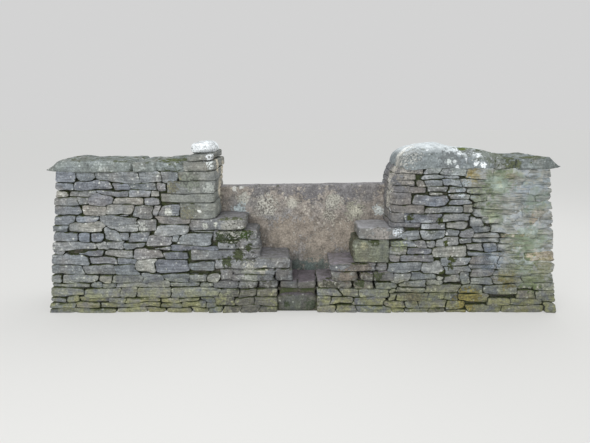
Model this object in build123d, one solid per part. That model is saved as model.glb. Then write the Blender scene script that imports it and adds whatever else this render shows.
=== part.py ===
from build123d import *
import os

# A stone slab stile in a dry-stone field wall, in millimetres. X runs along the wall, -Y is the
# lane side, +Y the field side and +Z is up. The origin is on the ground, at the middle of the
# wall's length and thickness. An upright slab closes the gap between two piers, near the field
# face, and in front of it stepping stones are built out from both piers down to a narrow foothold.

# The wall
gap_width = 1335.0  # between the two piers, at the slab
pier_length = 1345.0  # each pier along the wall, at the ground
wall_thickness = 540.0  # at the ground
face_batter = 0.03  # each face leans in by this much for each unit of height
end_batter = 0.14  # each outer end leans in by this much
footing_height = 160.0

# The slab, let into a chase in both piers
slab_thickness = 140.0
slab_setback = 330.0  # from the wall's front face at the ground
slab_embed = 60.0
slab_left_height = 955.0
slab_right_height = 990.0

# The foothold in the middle
foot_stone_height = 190.0
threshold_thickness = 72.0

# Stepping stones, from the foothold up: height of each, and how far it reaches out from the pier
left_foot_reach = 480.0
left_low_bearer_height = 95.0
left_low_bearer_reach = 577.0
left_low_step_height = 95.0
left_low_step_reach = 567.0
left_middle_bearer_height = 72.0
left_middle_bearer_reach = 337.0
left_middle_step_height = 144.0
left_middle_step_reach = 305.0
left_top_step_height = 92.0
left_top_step_reach = 217.0
left_top_step_tail = 195.0  # the part built into the pier

right_foot_reach = 560.0
right_low_bearer_height = 81.0
right_low_bearer_reach = 437.0
right_low_step_height = 69.0
right_low_step_reach = 458.0
right_step_block_height = 180.0
right_step_block_reach = 275.0
right_top_step_height = 101.0
right_top_step_reach = 242.0
right_top_step_tail = 110.0

# Jamb stones on the top steps, from the lowest up: height and length of each
left_jamb_heights = (127.0, 69.0, 94.0, 74.0, 76.0)
left_jamb_lengths = (270.0, 420.0, 360.0, 280.0, 225.0)
right_jamb_heights = (41.0, 74.0, 58.0, 92.0, 50.0, 45.0, 49.0, 49.0)
right_jamb_lengths = (230.0, 105.0, 260.0, 150.0, 265.0, 180.0, 180.0, 235.0)

# Tops of the piers
cope_thickness = 74.0
end_cope_length = 260.0
end_cope_oversail = 125.0  # past the wall's end under it
left_cover_length = 205.0
left_cover_thickness = 46.0
left_cover_inset = 8.0  # from the face of the jamb under it
left_head_width = 190.0
left_head_height = 82.0
left_head_depth = 330.0
left_head_rounding = 34.0
cap_rise = 172.0  # from the top of the right pier's courses to the crown
cap_length = 770.0  # from the face of the jamb
cap_tail_height = 80.0  # where the cap runs down onto the copes
cap_flat = 12.0  # the shoulder and the tail would peak this far above the crown, cut off level
shoulder_length = 420.0  # along the wall, from the jamb to the crown
left_corner_rounding = 30.0  # of the piers' upright corners at the stile, above the top steps
right_corner_rounding = 70.0

# Levels and places that follow from those sizes
half_gap = gap_width / 2
half_length = half_gap + pier_length
half_thickness = wall_thickness / 2
slab_front = slab_setback - half_thickness
slab_back = slab_front + slab_thickness
foothold_level = foot_stone_height + threshold_thickness

left_low_bearer_top = foothold_level + left_low_bearer_height
left_low_step_top = left_low_bearer_top + left_low_step_height
left_middle_bearer_top = left_low_step_top + left_middle_bearer_height
left_middle_step_top = left_middle_bearer_top + left_middle_step_height
left_top_step_top = left_middle_step_top + left_top_step_height
left_jamb_top = left_top_step_top + sum(left_jamb_heights)
left_lift_top = left_jamb_top - cope_thickness

right_low_bearer_top = foothold_level + right_low_bearer_height
right_low_step_top = right_low_bearer_top + right_low_step_height
right_step_block_top = right_low_step_top + right_step_block_height
right_top_step_top = right_step_block_top + right_top_step_height
right_jamb_top = right_top_step_top + sum(right_jamb_heights)
crown_level = right_jamb_top + cap_rise
peak_level = crown_level + cap_flat
sky = 2 * max(left_jamb_top, crown_level)  # above everything, for cutting

parts = {}


def box(x0, x1, y0, y1, z0, z1):
    """A box between those corners."""
    size = (abs(x1 - x0), abs(y1 - y0), abs(z1 - z0))
    return Pos((x0 + x1) / 2, (y0 + y1) / 2, (z0 + z1) / 2) * Box(*size)


def elevation(points):
    """A prism through the whole wall whose front view is that polygon of (x, z)."""
    face = make_face(Polyline([(x, 0, z) for x, z in points], close=True))
    return extrude(face, amount=wall_thickness, dir=(0, 1, 0), both=True)


def battered_wall():
    """The whole wall as one mass: both faces and both ends lean in."""
    lean_y = face_batter * sky
    lean_x = end_batter * sky
    section = make_face(
        Polyline(
            [
                (0, -half_thickness, 0),
                (0, half_thickness, 0),
                (0, half_thickness - lean_y, sky),
                (0, lean_y - half_thickness, sky),
            ],
            close=True,
        )
    )
    faces = extrude(section, amount=half_length, dir=(1, 0, 0), both=True)
    ends = elevation(
        [
            (-half_length, 0),
            (half_length, 0),
            (half_length - lean_x, sky),
            (lean_x - half_length, sky),
        ]
    )
    return faces & ends


def half_thickness_at(level):
    """Half the wall's thickness at a height."""
    return half_thickness - face_batter * level


def end_at(level):
    """Distance from the middle to the wall's outer end at a height."""
    return half_length - end_batter * level


def cut_from(mass, x0, x1, z0, z1, y0=-wall_thickness, y1=wall_thickness):
    """The part of a mass between those limits."""
    return mass & box(x0, x1, y0, y1, z0, z1)


def make_slab():
    """The upright slab, its top a little lower at the left."""
    half = half_gap + slab_embed
    outline = [(-half, 0), (half, 0), (half, slab_right_height), (-half, slab_left_height)]
    block = elevation(outline)
    parts["slab"] = block & box(-half, half, slab_front, slab_back, 0, sky)


def make_foothold(wall):
    """The foot stone and, on it, the worn threshold stone that the walker stands on."""
    x0, x1 = left_foot_reach - half_gap, half_gap - right_foot_reach
    levels = {
        "foot_stone": (0, foot_stone_height),
        "threshold_stone": (foot_stone_height, foothold_level),
    }
    for name, (z0, z1) in levels.items():
        parts[name] = cut_from(wall, x0, x1, z0, z1, y1=slab_front)


def make_steps(wall):
    """Stones stacked in front of the slab, each reaching out from its pier."""
    left = [
        ("left_foot_course", 0, foothold_level, left_foot_reach, 0),
        ("left_low_bearer", foothold_level, left_low_bearer_top, left_low_bearer_reach, 0),
        ("left_low_step", left_low_bearer_top, left_low_step_top, left_low_step_reach, 0),
        (
            "left_middle_bearer",
            left_low_step_top,
            left_middle_bearer_top,
            left_middle_bearer_reach,
            0,
        ),
        (
            "left_middle_step",
            left_middle_bearer_top,
            left_middle_step_top,
            left_middle_step_reach,
            0,
        ),
        (
            "left_top_step",
            left_middle_step_top,
            left_top_step_top,
            left_top_step_reach,
            left_top_step_tail,
        ),
    ]
    right = [
        ("right_foot_course", 0, foothold_level, right_foot_reach, 0),
        ("right_low_bearer", foothold_level, right_low_bearer_top, right_low_bearer_reach, 0),
        ("right_low_step", right_low_bearer_top, right_low_step_top, right_low_step_reach, 0),
        (
            "right_step_block",
            right_low_step_top,
            right_step_block_top,
            right_step_block_reach,
            0,
        ),
        (
            "right_top_step",
            right_step_block_top,
            right_top_step_top,
            right_top_step_reach,
            right_top_step_tail,
        ),
    ]
    for name, z0, z1, reach, tail in left:
        parts[name] = cut_from(wall, -half_gap - tail, reach - half_gap, z0, z1, y1=slab_front)
    for name, z0, z1, reach, tail in right:
        parts[name] = cut_from(wall, half_gap - reach, half_gap + tail, z0, z1, y1=slab_front)


def shoulder():
    """Everything to the right of the right pier's rounded shoulder, in front view."""
    middle = half_gap + shoulder_length
    foot = slab_right_height
    curve = EllipticalCenterArc(
        (middle, foot), shoulder_length, peak_level - foot, start_angle=90, arc_size=90
    )
    edge = [
        curve,
        Line((half_gap, foot), (half_gap, 0)),
        Line((half_gap, 0), (half_length, 0)),
        Line((half_length, 0), (half_length, peak_level)),
        Line((half_length, peak_level), (middle, peak_level)),
    ]
    face = Plane.XZ * make_face(Wire(edge))
    return extrude(face, amount=wall_thickness, dir=(0, 1, 0), both=True)


def rounded_pier(wall, side, rounding, level):
    """One pier of the wall, with its two upright corners at the stile rounded above a level."""
    half = half_thickness_at(level)
    lower = box(side * half_gap, side * half_length, -half_thickness, half_thickness, 0, level)
    upper = box(side * half_gap, side * half_length, -half, half, level, sky)
    corners = upper.edges().filter_by(Axis.Z).filter_by_position(
        Axis.X, side * half_gap - 1, side * half_gap + 1
    )
    return (wall & lower) + (wall & fillet(corners, rounding))


def make_left_pier(wall):
    """Jamb stones, two lifts of walling, copes, and the head stone at the stile."""
    level = left_top_step_top
    rounded = rounded_pier(wall, -1, left_corner_rounding, level)
    for number, (height, length) in enumerate(zip(left_jamb_heights, left_jamb_lengths), 1):
        stone = cut_from(rounded, -half_gap - length, -half_gap, level, level + height)
        parts[f"left_jamb_stone_{number}"] = stone - parts["slab"]
        level += height

    pier = cut_from(rounded, -half_length, -half_gap, 0, left_jamb_top)
    for name, stone in parts.items():
        if name.startswith(("slab", "left_jamb", "left_top_step")):
            pier = pier - stone
    x0, x1 = -half_length, -half_gap
    parts["left_footing"] = cut_from(pier, x0, x1, 0, footing_height)
    parts["left_lower_lift"] = cut_from(pier, x0, x1, footing_height, left_middle_step_top)
    parts["left_upper_lift"] = cut_from(pier, x0, x1, left_middle_step_top, left_lift_top)

    joint = end_cope_length - end_at(left_lift_top)
    parts["left_coping"] = cut_from(pier, joint, x1, left_lift_top, left_jamb_top)
    parts["left_end_cope"] = end_cope(left_lift_top, -1)

    cover_x1 = -half_gap - left_cover_inset
    cover_top = left_jamb_top + left_cover_thickness
    parts["left_cover_stone"] = cut_from(
        rounded, cover_x1 - left_cover_length, cover_x1, left_jamb_top, cover_top
    )
    head = box(
        cover_x1 - left_head_width,
        cover_x1,
        -left_head_depth / 2,
        left_head_depth / 2,
        cover_top,
        cover_top + left_head_height,
    )
    top_edges = head.edges().filter_by_position(
        Axis.Z, cover_top + 1, cover_top + left_head_height
    )
    parts["left_head_stone"] = fillet(top_edges, left_head_rounding)


def make_right_pier(wall):
    """Jamb stones cut to the shoulder, two lifts of walling, copes, and the rounded cap."""
    level = right_top_step_top
    rounded = rounded_pier(wall, 1, right_corner_rounding, level) & shoulder()
    for number, (height, length) in enumerate(zip(right_jamb_heights, right_jamb_lengths), 1):
        stone = cut_from(rounded, half_gap, half_gap + length, level, level + height)
        parts[f"right_jamb_stone_{number}"] = stone - parts["slab"]
        level += height

    pier = cut_from(rounded, half_gap, half_length, 0, right_jamb_top)
    for name, stone in parts.items():
        if name.startswith(("slab", "right_jamb", "right_top_step")):
            pier = pier - stone
    x0, x1 = half_gap, half_length
    parts["right_footing"] = cut_from(pier, x0, x1, 0, footing_height)
    parts["right_lower_lift"] = cut_from(pier, x0, x1, footing_height, right_step_block_top)
    parts["right_upper_lift"] = cut_from(pier, x0, x1, right_step_block_top, right_jamb_top)

    joint = end_at(right_jamb_top) - end_cope_length
    cope_top = right_jamb_top + cope_thickness
    parts["right_coping"] = cut_from(
        wall, half_gap + cap_length, joint, right_jamb_top, cope_top
    )
    parts["right_end_cope"] = end_cope(right_jamb_top, 1)
    parts["right_cap"] = rounded_cap()


def end_cope(level, side):
    """The last cope of a pier, a flat stone that oversails the wall's end and is thin at its tip."""
    end = end_at(level)
    tip = end + end_cope_oversail
    stone = elevation(
        [
            (side * (end - end_cope_length), level),
            (side * end, level),
            (side * tip, level + cope_thickness / 4),
            (side * tip, level + cope_thickness / 3),
            (side * end, level + cope_thickness),
            (side * (end - end_cope_length), level + cope_thickness),
        ]
    )
    half = half_thickness_at(level + cope_thickness)
    return stone & box(-half_length, half_length, -half, half, 0, sky)


def rounded_cap():
    """The cap: a half ellipse across the wall, run along it under the line of the shoulder."""
    half = half_thickness_at(right_jamb_top)
    arc = EllipticalCenterArc((0, right_jamb_top), half, cap_rise, start_angle=0, arc_size=180)
    base = Line((-half, right_jamb_top), (half, right_jamb_top))
    across = extrude(Plane.YZ * make_face(Wire([arc, base])), amount=half_length)

    x_crown = half_gap + shoulder_length
    x_tail = half_gap + cap_length
    tail_level = right_jamb_top + cap_tail_height
    fall = EllipticalCenterArc(
        (x_crown, tail_level),
        x_tail - x_crown,
        peak_level - tail_level,
        start_angle=0,
        arc_size=90,
    )
    edge = [
        Line((half_gap, right_jamb_top), (x_tail, right_jamb_top)),
        Line((x_tail, right_jamb_top), (x_tail, tail_level)),
        fall,
        Line((x_crown, peak_level), (half_gap, peak_level)),
        Line((half_gap, peak_level), (half_gap, right_jamb_top)),
    ]
    along = extrude(
        Plane.XZ * make_face(Wire(edge)), amount=wall_thickness, dir=(0, 1, 0), both=True
    )
    return across & along & shoulder()


def build():
    """Makes every piece and writes one file for each."""
    wall = battered_wall()
    make_slab()
    make_foothold(wall)
    make_steps(wall)
    make_left_pier(wall)
    make_right_pier(wall)
    os.makedirs("parts", exist_ok=True)
    for name, shape in parts.items():
        solids = shape.solids()
        export_step(solids[0] if len(solids) == 1 else Compound(children=solids), f"parts/{name}.step")


build()
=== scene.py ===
import itertools
import math

import bpy
import numpy as np
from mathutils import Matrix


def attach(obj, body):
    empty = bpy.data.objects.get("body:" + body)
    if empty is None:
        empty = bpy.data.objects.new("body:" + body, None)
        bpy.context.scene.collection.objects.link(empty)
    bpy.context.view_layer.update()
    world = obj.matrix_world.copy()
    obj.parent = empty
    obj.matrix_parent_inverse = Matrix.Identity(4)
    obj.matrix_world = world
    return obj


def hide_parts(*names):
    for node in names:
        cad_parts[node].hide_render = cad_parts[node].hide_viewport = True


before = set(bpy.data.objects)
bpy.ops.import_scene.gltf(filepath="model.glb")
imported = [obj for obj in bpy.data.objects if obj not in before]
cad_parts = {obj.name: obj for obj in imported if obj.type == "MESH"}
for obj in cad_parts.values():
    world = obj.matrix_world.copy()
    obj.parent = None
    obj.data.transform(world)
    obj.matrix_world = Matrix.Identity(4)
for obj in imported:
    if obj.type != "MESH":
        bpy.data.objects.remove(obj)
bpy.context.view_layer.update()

# Dry walling of the two piers
# Roughly coursed field stone, 40 to 100 mm high, laid without mortar in two leaning faces with
# small stones packed between them. Each stone is split along its bed, so its face is rough and
# its arrises are worn. The joints are dark where the packing lies deep, and the stones' sides
# and arrises in them are darkened further with earth and painted shade.

# half the wall's thickness and length at the ground, how far its faces and its ends lean in for
# each metre of height, and half the width of the gap
HALF_THICKNESS, FACE_BATTER = 0.270, 0.03
HALF_LENGTH, END_BATTER = 2.0125, 0.14
JAMB = 0.6675
SLAB_FACE = 0.058  # where the steps end, just in front of the slab
STONE_DEPTH, PACKING_DEPTH = 0.11, 0.042
JOINT = 0.005
BUFF = 1.0  # the tint of a buff stone


def noise(points, size, seed):
    """Smooth random numbers from -1 to 1: one hashed value at each corner of a grid of cells of
    that size, blended across each cell by 3 t^2 - 2 t^3 along every axis."""
    spot = np.asarray(points) / np.asarray(size) + 500.0
    cell = np.floor(spot).astype(np.int64)
    part = spot - cell
    part = part * part * (3.0 - 2.0 * part)
    total = np.zeros(spot.shape[:-1])
    for corner in itertools.product((0, 1), repeat=3):
        at = cell + np.array(corner)
        mixed = at[..., 0] * 73856093 ^ at[..., 1] * 19349663 ^ at[..., 2] * 83492791 ^ seed * 97
        mixed &= 0xFFFFFFFF
        mixed = ((mixed ^ (mixed >> 13)) * 1274126177) & 0xFFFFFFFF
        mixed = mixed ^ (mixed >> 16)
        share = np.prod(np.where(corner, part, 1.0 - part), axis=-1)
        total += share * (mixed / 0x7FFFFFFF - 1.0)
    return total


def closed_skin(rings, around):
    """Corner numbers and face sizes of rings joined in turn, with a fan of triangles from the
    first and the last ring to a pole. The poles are the last two points."""
    here = np.arange(around)
    following = np.roll(here, -1)
    start = np.arange(rings - 1)[:, None] * around
    quads = np.stack(
        [start + here, start + following, start + around + following, start + around + here], -1
    )
    first_pole = np.full(around, rings * around)
    top = (rings - 1) * around
    low = np.stack([following, here, first_pole], -1)
    high = np.stack([top + here, top + following, first_pole + 1], -1)
    corners = np.concatenate([quads.ravel(), low.ravel(), high.ravel()])
    sizes = np.repeat([4, 3], [(rings - 1) * around, 2 * around])
    return corners, sizes


def make_piece(name, skins, materials, nodes):
    """One object from closed skins, each a dict of points, corners, sizes, the attributes tint
    and joint, one number a point, and the number of its material where that isn't the first. The
    object stands for the named nodes of the frame."""
    offsets = np.cumsum([0] + [len(skin["points"]) for skin in skins])[:-1]
    points = np.concatenate([skin["points"] for skin in skins])
    corners = np.concatenate([skin["corners"] + o for skin, o in zip(skins, offsets)])
    sizes = np.concatenate([skin["sizes"] for skin in skins])
    kinds = np.concatenate([np.full(len(s["sizes"]), s.get("material", 0)) for s in skins])
    mesh = bpy.data.meshes.new(name)
    mesh.vertices.add(len(points))
    mesh.vertices.foreach_set("co", points.astype(np.float32).ravel())
    mesh.loops.add(len(corners))
    mesh.loops.foreach_set("vertex_index", corners.astype(np.int32))
    mesh.polygons.add(len(sizes))
    starts = np.cumsum(sizes) - sizes
    mesh.polygons.foreach_set("loop_start", starts.astype(np.int32))
    mesh.polygons.foreach_set("loop_total", sizes.astype(np.int32))
    mesh.polygons.foreach_set("material_index", kinds.astype(np.int32))
    mesh.update(calc_edges=True)
    mesh.validate()
    mesh.shade_smooth()
    mesh.set_sharp_from_angle(angle=math.radians(50))
    normals = np.empty(len(points) * 3, dtype=np.float32)
    mesh.vertices.foreach_get("normal", normals)
    values = {
        "tint": np.concatenate([skin["tint"] for skin in skins]),
        "joint": np.concatenate([skin["joint"] for skin in skins]),
        "upward": np.clip(normals[2::3], 0.0, 1.0),
    }
    for key, numbers in values.items():
        layer = mesh.attributes.new(key, "FLOAT", "POINT")
        layer.data.foreach_set("value", numbers.astype(np.float32))
    for material in materials:
        mesh.materials.append(material)
    piece = bpy.data.objects.new(name, mesh)
    bpy.context.scene.collection.objects.link(piece)
    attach(piece, "root")
    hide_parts(*nodes)
    return piece


def face_depth(level):
    """How far the faces stand from the wall's middle plane, at a level."""
    return HALF_THICKNESS - FACE_BATTER * level


def face_end(level):
    """Where the faces meet the outer end, at a level."""
    return HALF_LENGTH - END_BATTER * level


def on_face(u, v, out, face):
    """A place on a face of the wall: u to the right and v up as seen from outside, out towards
    the viewer."""
    if face == "front":
        return np.stack([u, -face_depth(v) - out, v], -1)
    if face == "back":
        return np.stack([-u, face_depth(v) + out, v], -1)
    if face == "right_end":
        return np.stack([face_end(v) + out, u, v], -1)
    return np.stack([-face_end(v) - out, -u, v], -1)


def fitted(cells, fixed, within, around, seed, growth):
    """Outlines of the stones of one face: the middle of each cell, and a ring of (u, v) about it.
    A stone spreads along rays from its middle until it is as deep in its own cell as in another,
    less half a joint, or some millimetres outside its own, or at the edge of the face. Cells are
    turned into leaning wedges first and the face is warped by smooth noise, so that neighbours
    share their crooked edges, and joints are up to 12 mm wide. Fixed cells only keep their
    place. The rays end on a rounded square, |x|^9 + |y|^9 = 1, scaled to the cell."""
    random = np.random.default_rng(seed)
    every = np.concatenate([cells, fixed])
    middle = np.stack([every[:, 0] + every[:, 1], every[:, 2] + every[:, 3]], -1) / 2
    half = np.stack([every[:, 1] - every[:, 0], every[:, 3] - every[:, 2]], -1) / 2
    count, total = len(cells), len(every)
    loose = np.arange(total) < count
    wedge = random.uniform(-0.24, 0.24, total) * loose
    lean = random.uniform(-0.6, 0.6, total) * loose
    climb = every[:, 4] + random.uniform(-0.005, 0.005, total) * loose
    spare = random.uniform(0.003, growth, count)

    def outside(spots, chosen):
        """How far places lie outside the chosen cells: less than 0 is inside."""
        offset = spots[..., None, :] - middle[chosen]
        along = np.clip(offset[..., 0] / half[chosen, 0], -1.3, 1.3)
        u = np.abs(offset[..., 0] - lean[chosen] * offset[..., 1]) - half[chosen, 0]
        rise = climb[chosen] * along / 2
        v = np.abs(offset[..., 1] - rise) - half[chosen, 1] * (1.0 + wedge[chosen] * along)
        return np.maximum(u, v)

    turn = np.linspace(0.0, 2.0 * np.pi, around, endpoint=False) + np.pi / around
    ray = np.stack([np.cos(turn), np.sin(turn)], -1)
    ray /= (np.abs(ray) ** 9).sum(-1, keepdims=True) ** (1.0 / 9)
    steps = np.linspace(0.25, 1.9, 56)
    here = np.arange(around)
    rings = np.empty((count, around, 2))
    for number in range(count):
        spots = middle[number] + steps[:, None, None] * ray * half[number]
        flat = np.concatenate([spots, np.zeros((*spots.shape[:2], 1))], -1)
        warp = [noise(flat, (0.11, 0.05, 1.0), seed + i) for i in (11, 12)]
        crooked = spots + np.stack(warp, -1) * (0.012, 0.008)
        gap = JOINT * (0.8 + 1.6 * noise(flat, (0.10, 0.06, 1.0), seed + 13))
        apart = np.abs(middle - middle[number]) - half - half[number]
        near = np.flatnonzero((apart < 0.05).all(1) & (np.arange(total) != number))
        own = outside(crooked, [number])[..., 0]
        beyond = np.maximum(own - outside(crooked, near).min(-1) + gap, own - spare[number])
        beyond = np.maximum(beyond, within(spots[..., 0], spots[..., 1]))
        beyond[-1] = 1.0
        first = np.maximum(np.argmax(beyond > 0.0, axis=0), 1)
        before, after = beyond[first - 1, here], beyond[first, here]
        share = np.clip(before / (before - after), 0.0, 1.0)
        reach = steps[first - 1] + share * (steps[1] - steps[0])
        reach = 0.2 * np.roll(reach, 1) + 0.6 * reach + 0.2 * np.roll(reach, -1)
        rings[number] = reach[:, None] * ray * half[number]
    return middle[:count], rings


def face_stones(cells, fixed, face, within, seed, around, growth, depth=None):
    """Stones of one wall face, with their colour and their middles. A cell is u0, u1, v0, v1, how
    much its right end climbs, and BUFF for a stone of that colour. Each fitted outline is carried
    from the tail along the depth, over a rounded arris, and closes on the face, which leans and
    bulges a little and is broken by noise along the beds. Stones are 110 mm deep unless their
    depths are given, and one with any other depth is a corner stone with a square tail."""
    proud, rough = 0.007, 0.005
    depth = np.full((len(cells), 1), STONE_DEPTH) if depth is None else depth
    square = depth != STONE_DEPTH
    cells = np.array([(*cell, 0.0)[:6] for cell in cells])
    fixed = np.array([(*cell, 0.0)[:6] for cell in fixed]).reshape(-1, 6)
    middle, outline = fitted(cells, fixed, within, around, seed, growth)
    random = np.random.default_rng(seed + 50)
    count = len(cells)

    def spread(low, high):
        return random.uniform(low, high, (count, 1))

    reach = np.abs(outline).max(1)
    wide, high = reach[:, :1], reach[:, 1:]
    arris = np.minimum(spread(0.003, 0.008), 0.35 * np.minimum(wide, high))
    # inset, shrink, tail and drop of each ring, from the pole of the tail to that of the face
    sections = [
        (0.0, 0.0, -1.0, 0.0),
        (0.0, np.where(square, 0.97, 0.80), -1.0, 0.0),
        (0.0, 1.00, np.where(square, -0.93, -0.6), 0.0),
        (0.0, 1.00, 0.0, -1.7),
        (0.12, 1.00, 0.0, -0.75),
        (0.45, 1.00, 0.0, -0.22),
        (1.00, 1.00, 0.0, 0.0),
        (1.00, 0.80, 0.0, 0.0),
        (1.00, 0.52, 0.0, 0.0),
        (1.00, 0.24, 0.0, 0.0),
        (1.00, 0.00, 0.0, 0.0),
    ]
    lean_u, lean_v, stand = spread(-0.006, 0.006), spread(-0.004, 0.007), spread(-proud, proud)
    crown = spread(0.000, 0.004)
    rings = []
    for inset, shrink, tail, drop in sections:
        u = outline[..., 0] * shrink * (1.0 - inset * arris / wide)
        v = outline[..., 1] * shrink * (1.0 - inset * arris / high)
        out = stand + lean_u * u / wide - lean_v * v / high + crown * (1.0 - shrink**2)
        out = out + depth * tail + arris * drop
        rings.append(np.stack([middle[:, :1] + u, middle[:, 1:] + v, out], -1))
    skin = np.stack(rings, 1)  # stone, ring, point around, (u, v, out)
    # each stone takes its noise from a place of its own
    place = skin + np.arange(count)[:, None, None, None] * 3.1
    chips = (np.arange(len(sections)) > 2)[None, :, None] * rough
    skin[..., 0] += 0.5 * rough * noise(place, 0.018, seed + 1)
    skin[..., 1] += 0.3 * rough * noise(place, 0.018, seed + 2)
    skin[..., 2] += chips * noise(place, (0.07, 0.022, 9.0), seed + 3)
    skin[..., 2] += 0.6 * chips * noise(place, (0.03, 0.009, 9.0), seed + 4)
    skin[..., 1] = np.maximum(skin[..., 1], 0.0)
    corners, sizes = closed_skin(len(sections) - 2, around)
    points = np.concatenate(
        [skin[:, 1:-1].reshape(count, -1, 3), skin[:, 0, :1], skin[:, -1, :1]], axis=1
    )
    # how much earth and painted shade each ring takes, from the tail to the face
    shade = np.array([1.0, 1.0, 0.85, 0.5, 0.15, 0.0, 0.0, 0.0, 0.0])
    joint = np.tile(np.concatenate([np.repeat(shade, around), [1.0, 0.0]]), (count, 1))
    # no joint lies beyond the ends of a face
    joint[within(points[..., 0], points[..., 1], True) > -0.012] *= 0.15
    return {
        "middle": middle,
        "points": on_face(points[..., 0], points[..., 1], points[..., 2], face),
        "corners": corners,
        "sizes": sizes,
        "tint": np.where(cells[:, 5] > 0.0, BUFF, 0.9 * random.random(count)),
        "joint": joint,
    }


PIER_START = 0.66  # face stones with their middles inside it belong to the steps


def chosen_stones(stones, low, high, inner=PIER_START, outer=HALF_LENGTH):
    """The stones of a face whose middles lie between two levels, and between two distances from
    the object's middle, as one skin."""
    away, level = np.abs(stones["middle"]).T
    chosen = np.flatnonzero((level >= low) & (level < high) & (away >= inner) & (away < outer))
    points = stones["points"][chosen]
    count, each = points.shape[:2]
    return {
        "points": points.reshape(-1, 3),
        "corners": (stones["corners"] + np.arange(count)[:, None] * each).ravel(),
        "sizes": np.tile(stones["sizes"], count),
        "tint": np.repeat(stones["tint"][chosen], each),
        "joint": stones["joint"][chosen].ravel(),
    }


def courses(left, right, low, high, seed, height=0.062, length=0.19, taken=()):
    """Cells of rough courses between two ends, each end a function of the level. Courses and
    stones vary by half, one stone in eight is a jumper that reaches into the next course, and a
    course keeps clear of the cells that are already taken."""
    random = np.random.default_rng(seed)
    cells = []
    level = low
    while level < high - 0.02:
        rise = min(height * random.uniform(0.6, 1.45), high - level)
        if high - level - rise < 0.03:
            rise = high - level
        blocked = [c for c in taken if min(c[3], level + rise) - max(c[2], level) > 0.35 * rise]
        spans = [(left(level + rise / 2), right(level + rise / 2))]
        for cell in sorted(blocked):
            cut = []
            for start, end in spans:
                if cell[1] <= start or cell[0] >= end:
                    cut.append((start, end))
                    continue
                if cell[0] - start > 0.05:
                    cut.append((start, cell[0]))
                if end - cell[1] > 0.05:
                    cut.append((cell[1], end))
            spans = cut
        for start, end in spans:
            across = start
            while across < end - 0.005:
                run = length * random.uniform(0.4, 1.8)
                if end - across - run < 0.06:
                    run = end - across
                shift, jump = random.uniform(-0.006, 0.006, 2), random.random() < 0.12
                top = level + rise * (1.7 if jump else 1.0) + shift[1]
                cells.append((across, across + run, level + shift[0], min(top, high), 0.0))
                across += run
        level += rise
    return cells


def linear(code):
    """A linear colour from an sRGB hex value."""
    parts = [int(code[i : i + 2], 16) / 255 for i in (0, 2, 4)]
    return (*[c / 12.92 if c <= 0.04045 else ((c + 0.055) / 1.055) ** 2.4 for c in parts], 1.0)


def set_inputs(tree, node, links):
    """Gives a node its inputs, in order or by name or number, each a socket or a value."""
    for key, value in links.items() if isinstance(links, dict) else enumerate(links):
        if isinstance(value, bpy.types.NodeSocket):
            tree.links.new(value, node.inputs[key])
        else:
            node.inputs[key].default_value = value


def add(tree, kind, links=(), out=0, ramp=(), **settings):
    """Adds a shader node with its inputs and settings, and gives one of its outputs. Ramp gives
    the stops of a colour ramp."""
    made = tree.nodes.new("ShaderNode" + kind)
    for key, value in settings.items():
        setattr(made, key, value)
    set_inputs(tree, made, links)
    for number, (position, colour) in enumerate(ramp):
        stops = made.color_ramp.elements
        stop = stops[number] if number < 2 else stops.new(position)
        stop.position = position
        stop.color = colour
    return made.outputs[out]


def new_material(name):
    """A material, its node tree and the shader that its look is given to."""
    material = bpy.data.materials.new(name)
    material.use_nodes = True
    return material, material.node_tree, material.node_tree.nodes["Principled BSDF"]


def coated(tree, colour, coats, blend="MIX"):
    """A colour under coats that are laid on in turn. A coat is a mask and what it shows: a hex
    value, a socket, or a shade with the dark and the light hex value that it runs between."""
    for mask, over in coats:
        if isinstance(over, tuple):
            shade, dark, light = over
            over = coated(tree, linear(dark), [(shade, light)])
        elif isinstance(over, str):
            over = linear(over)
        links = {0: mask, 6: colour, 7: over}
        colour = add(tree, "Mix", links, 2, data_type="RGBA", blend_type=blend)
    return colour


# sizes in millimetres of the marks on the stone, with their detail and their stretch: broad
# stains, clouds, blotches and tufts, grain drawn coarser than the real 1 mm so that it shows,
# and thin beds
MARKS = {
    "stain": (260, 3, (1, 1, 1)),
    "cloud": (60, 6, (1, 1, 1)),
    "blotch": (30, 6, (1, 1, 1)),
    "tuft": (42, 5, (1, 1, 1.5)),
    "grain": (13, 5, (1, 1, 1)),
    "bed": (12, 4, (0.11, 0.11, 1)),
}


def marked(tree, place):
    """The marks as noise over the object, each at its own size."""
    made = {}
    for key, (size, detail, stretch) in MARKS.items():
        spot = add(tree, "Mapping", {"Vector": place, "Scale": stretch})
        links = {"Vector": spot, "Scale": 1000 / size, "Detail": detail, "Roughness": 0.66}
        made[key] = add(tree, "TexNoise", links)
    return made


def patchwork(tree, place, mark, patches):
    """A mask and a colour for each patch, which is the x, y and z of its centre, its radius, its
    colour and how much of it is covered. Its rim is crooked with the blotches, and the grain
    breaks its cover."""
    made = []
    for *centre, radius, code, share in patches:
        offset = add(tree, "VectorMath", (place, centre), "Value", operation="DISTANCE")
        crooked = add(tree, "MapRange", (mark["blotch"], 0.3, 0.7, -0.8 * radius, 0.8 * radius))
        offset = add(tree, "Math", (offset, crooked), operation="ADD")
        near = add(tree, "MapRange", (offset, radius, 0.8 * radius))
        full = add(tree, "MapRange", (mark["grain"], 0.62 - 0.36 * share, 0.70 - 0.36 * share))
        made.append((add(tree, "Math", (near, full), operation="MULTIPLY"), code))
    return made


def lime_colour(tree, mark):
    """The colour of old lime mortar: blue-grey, cream in places and green with algae in others."""
    cream = add(tree, "MapRange", (mark["blotch"], 0.52, 0.62, 0.0, 0.6))
    green = add(tree, "MapRange", (mark["stain"], 0.48, 0.60, 0.0, 0.6))
    coats = [(mark["grain"], "cfd4d7"), (cream, "b0ada0"), (green, "76825f")]
    return coated(tree, linear("7c8487"), coats)


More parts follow.
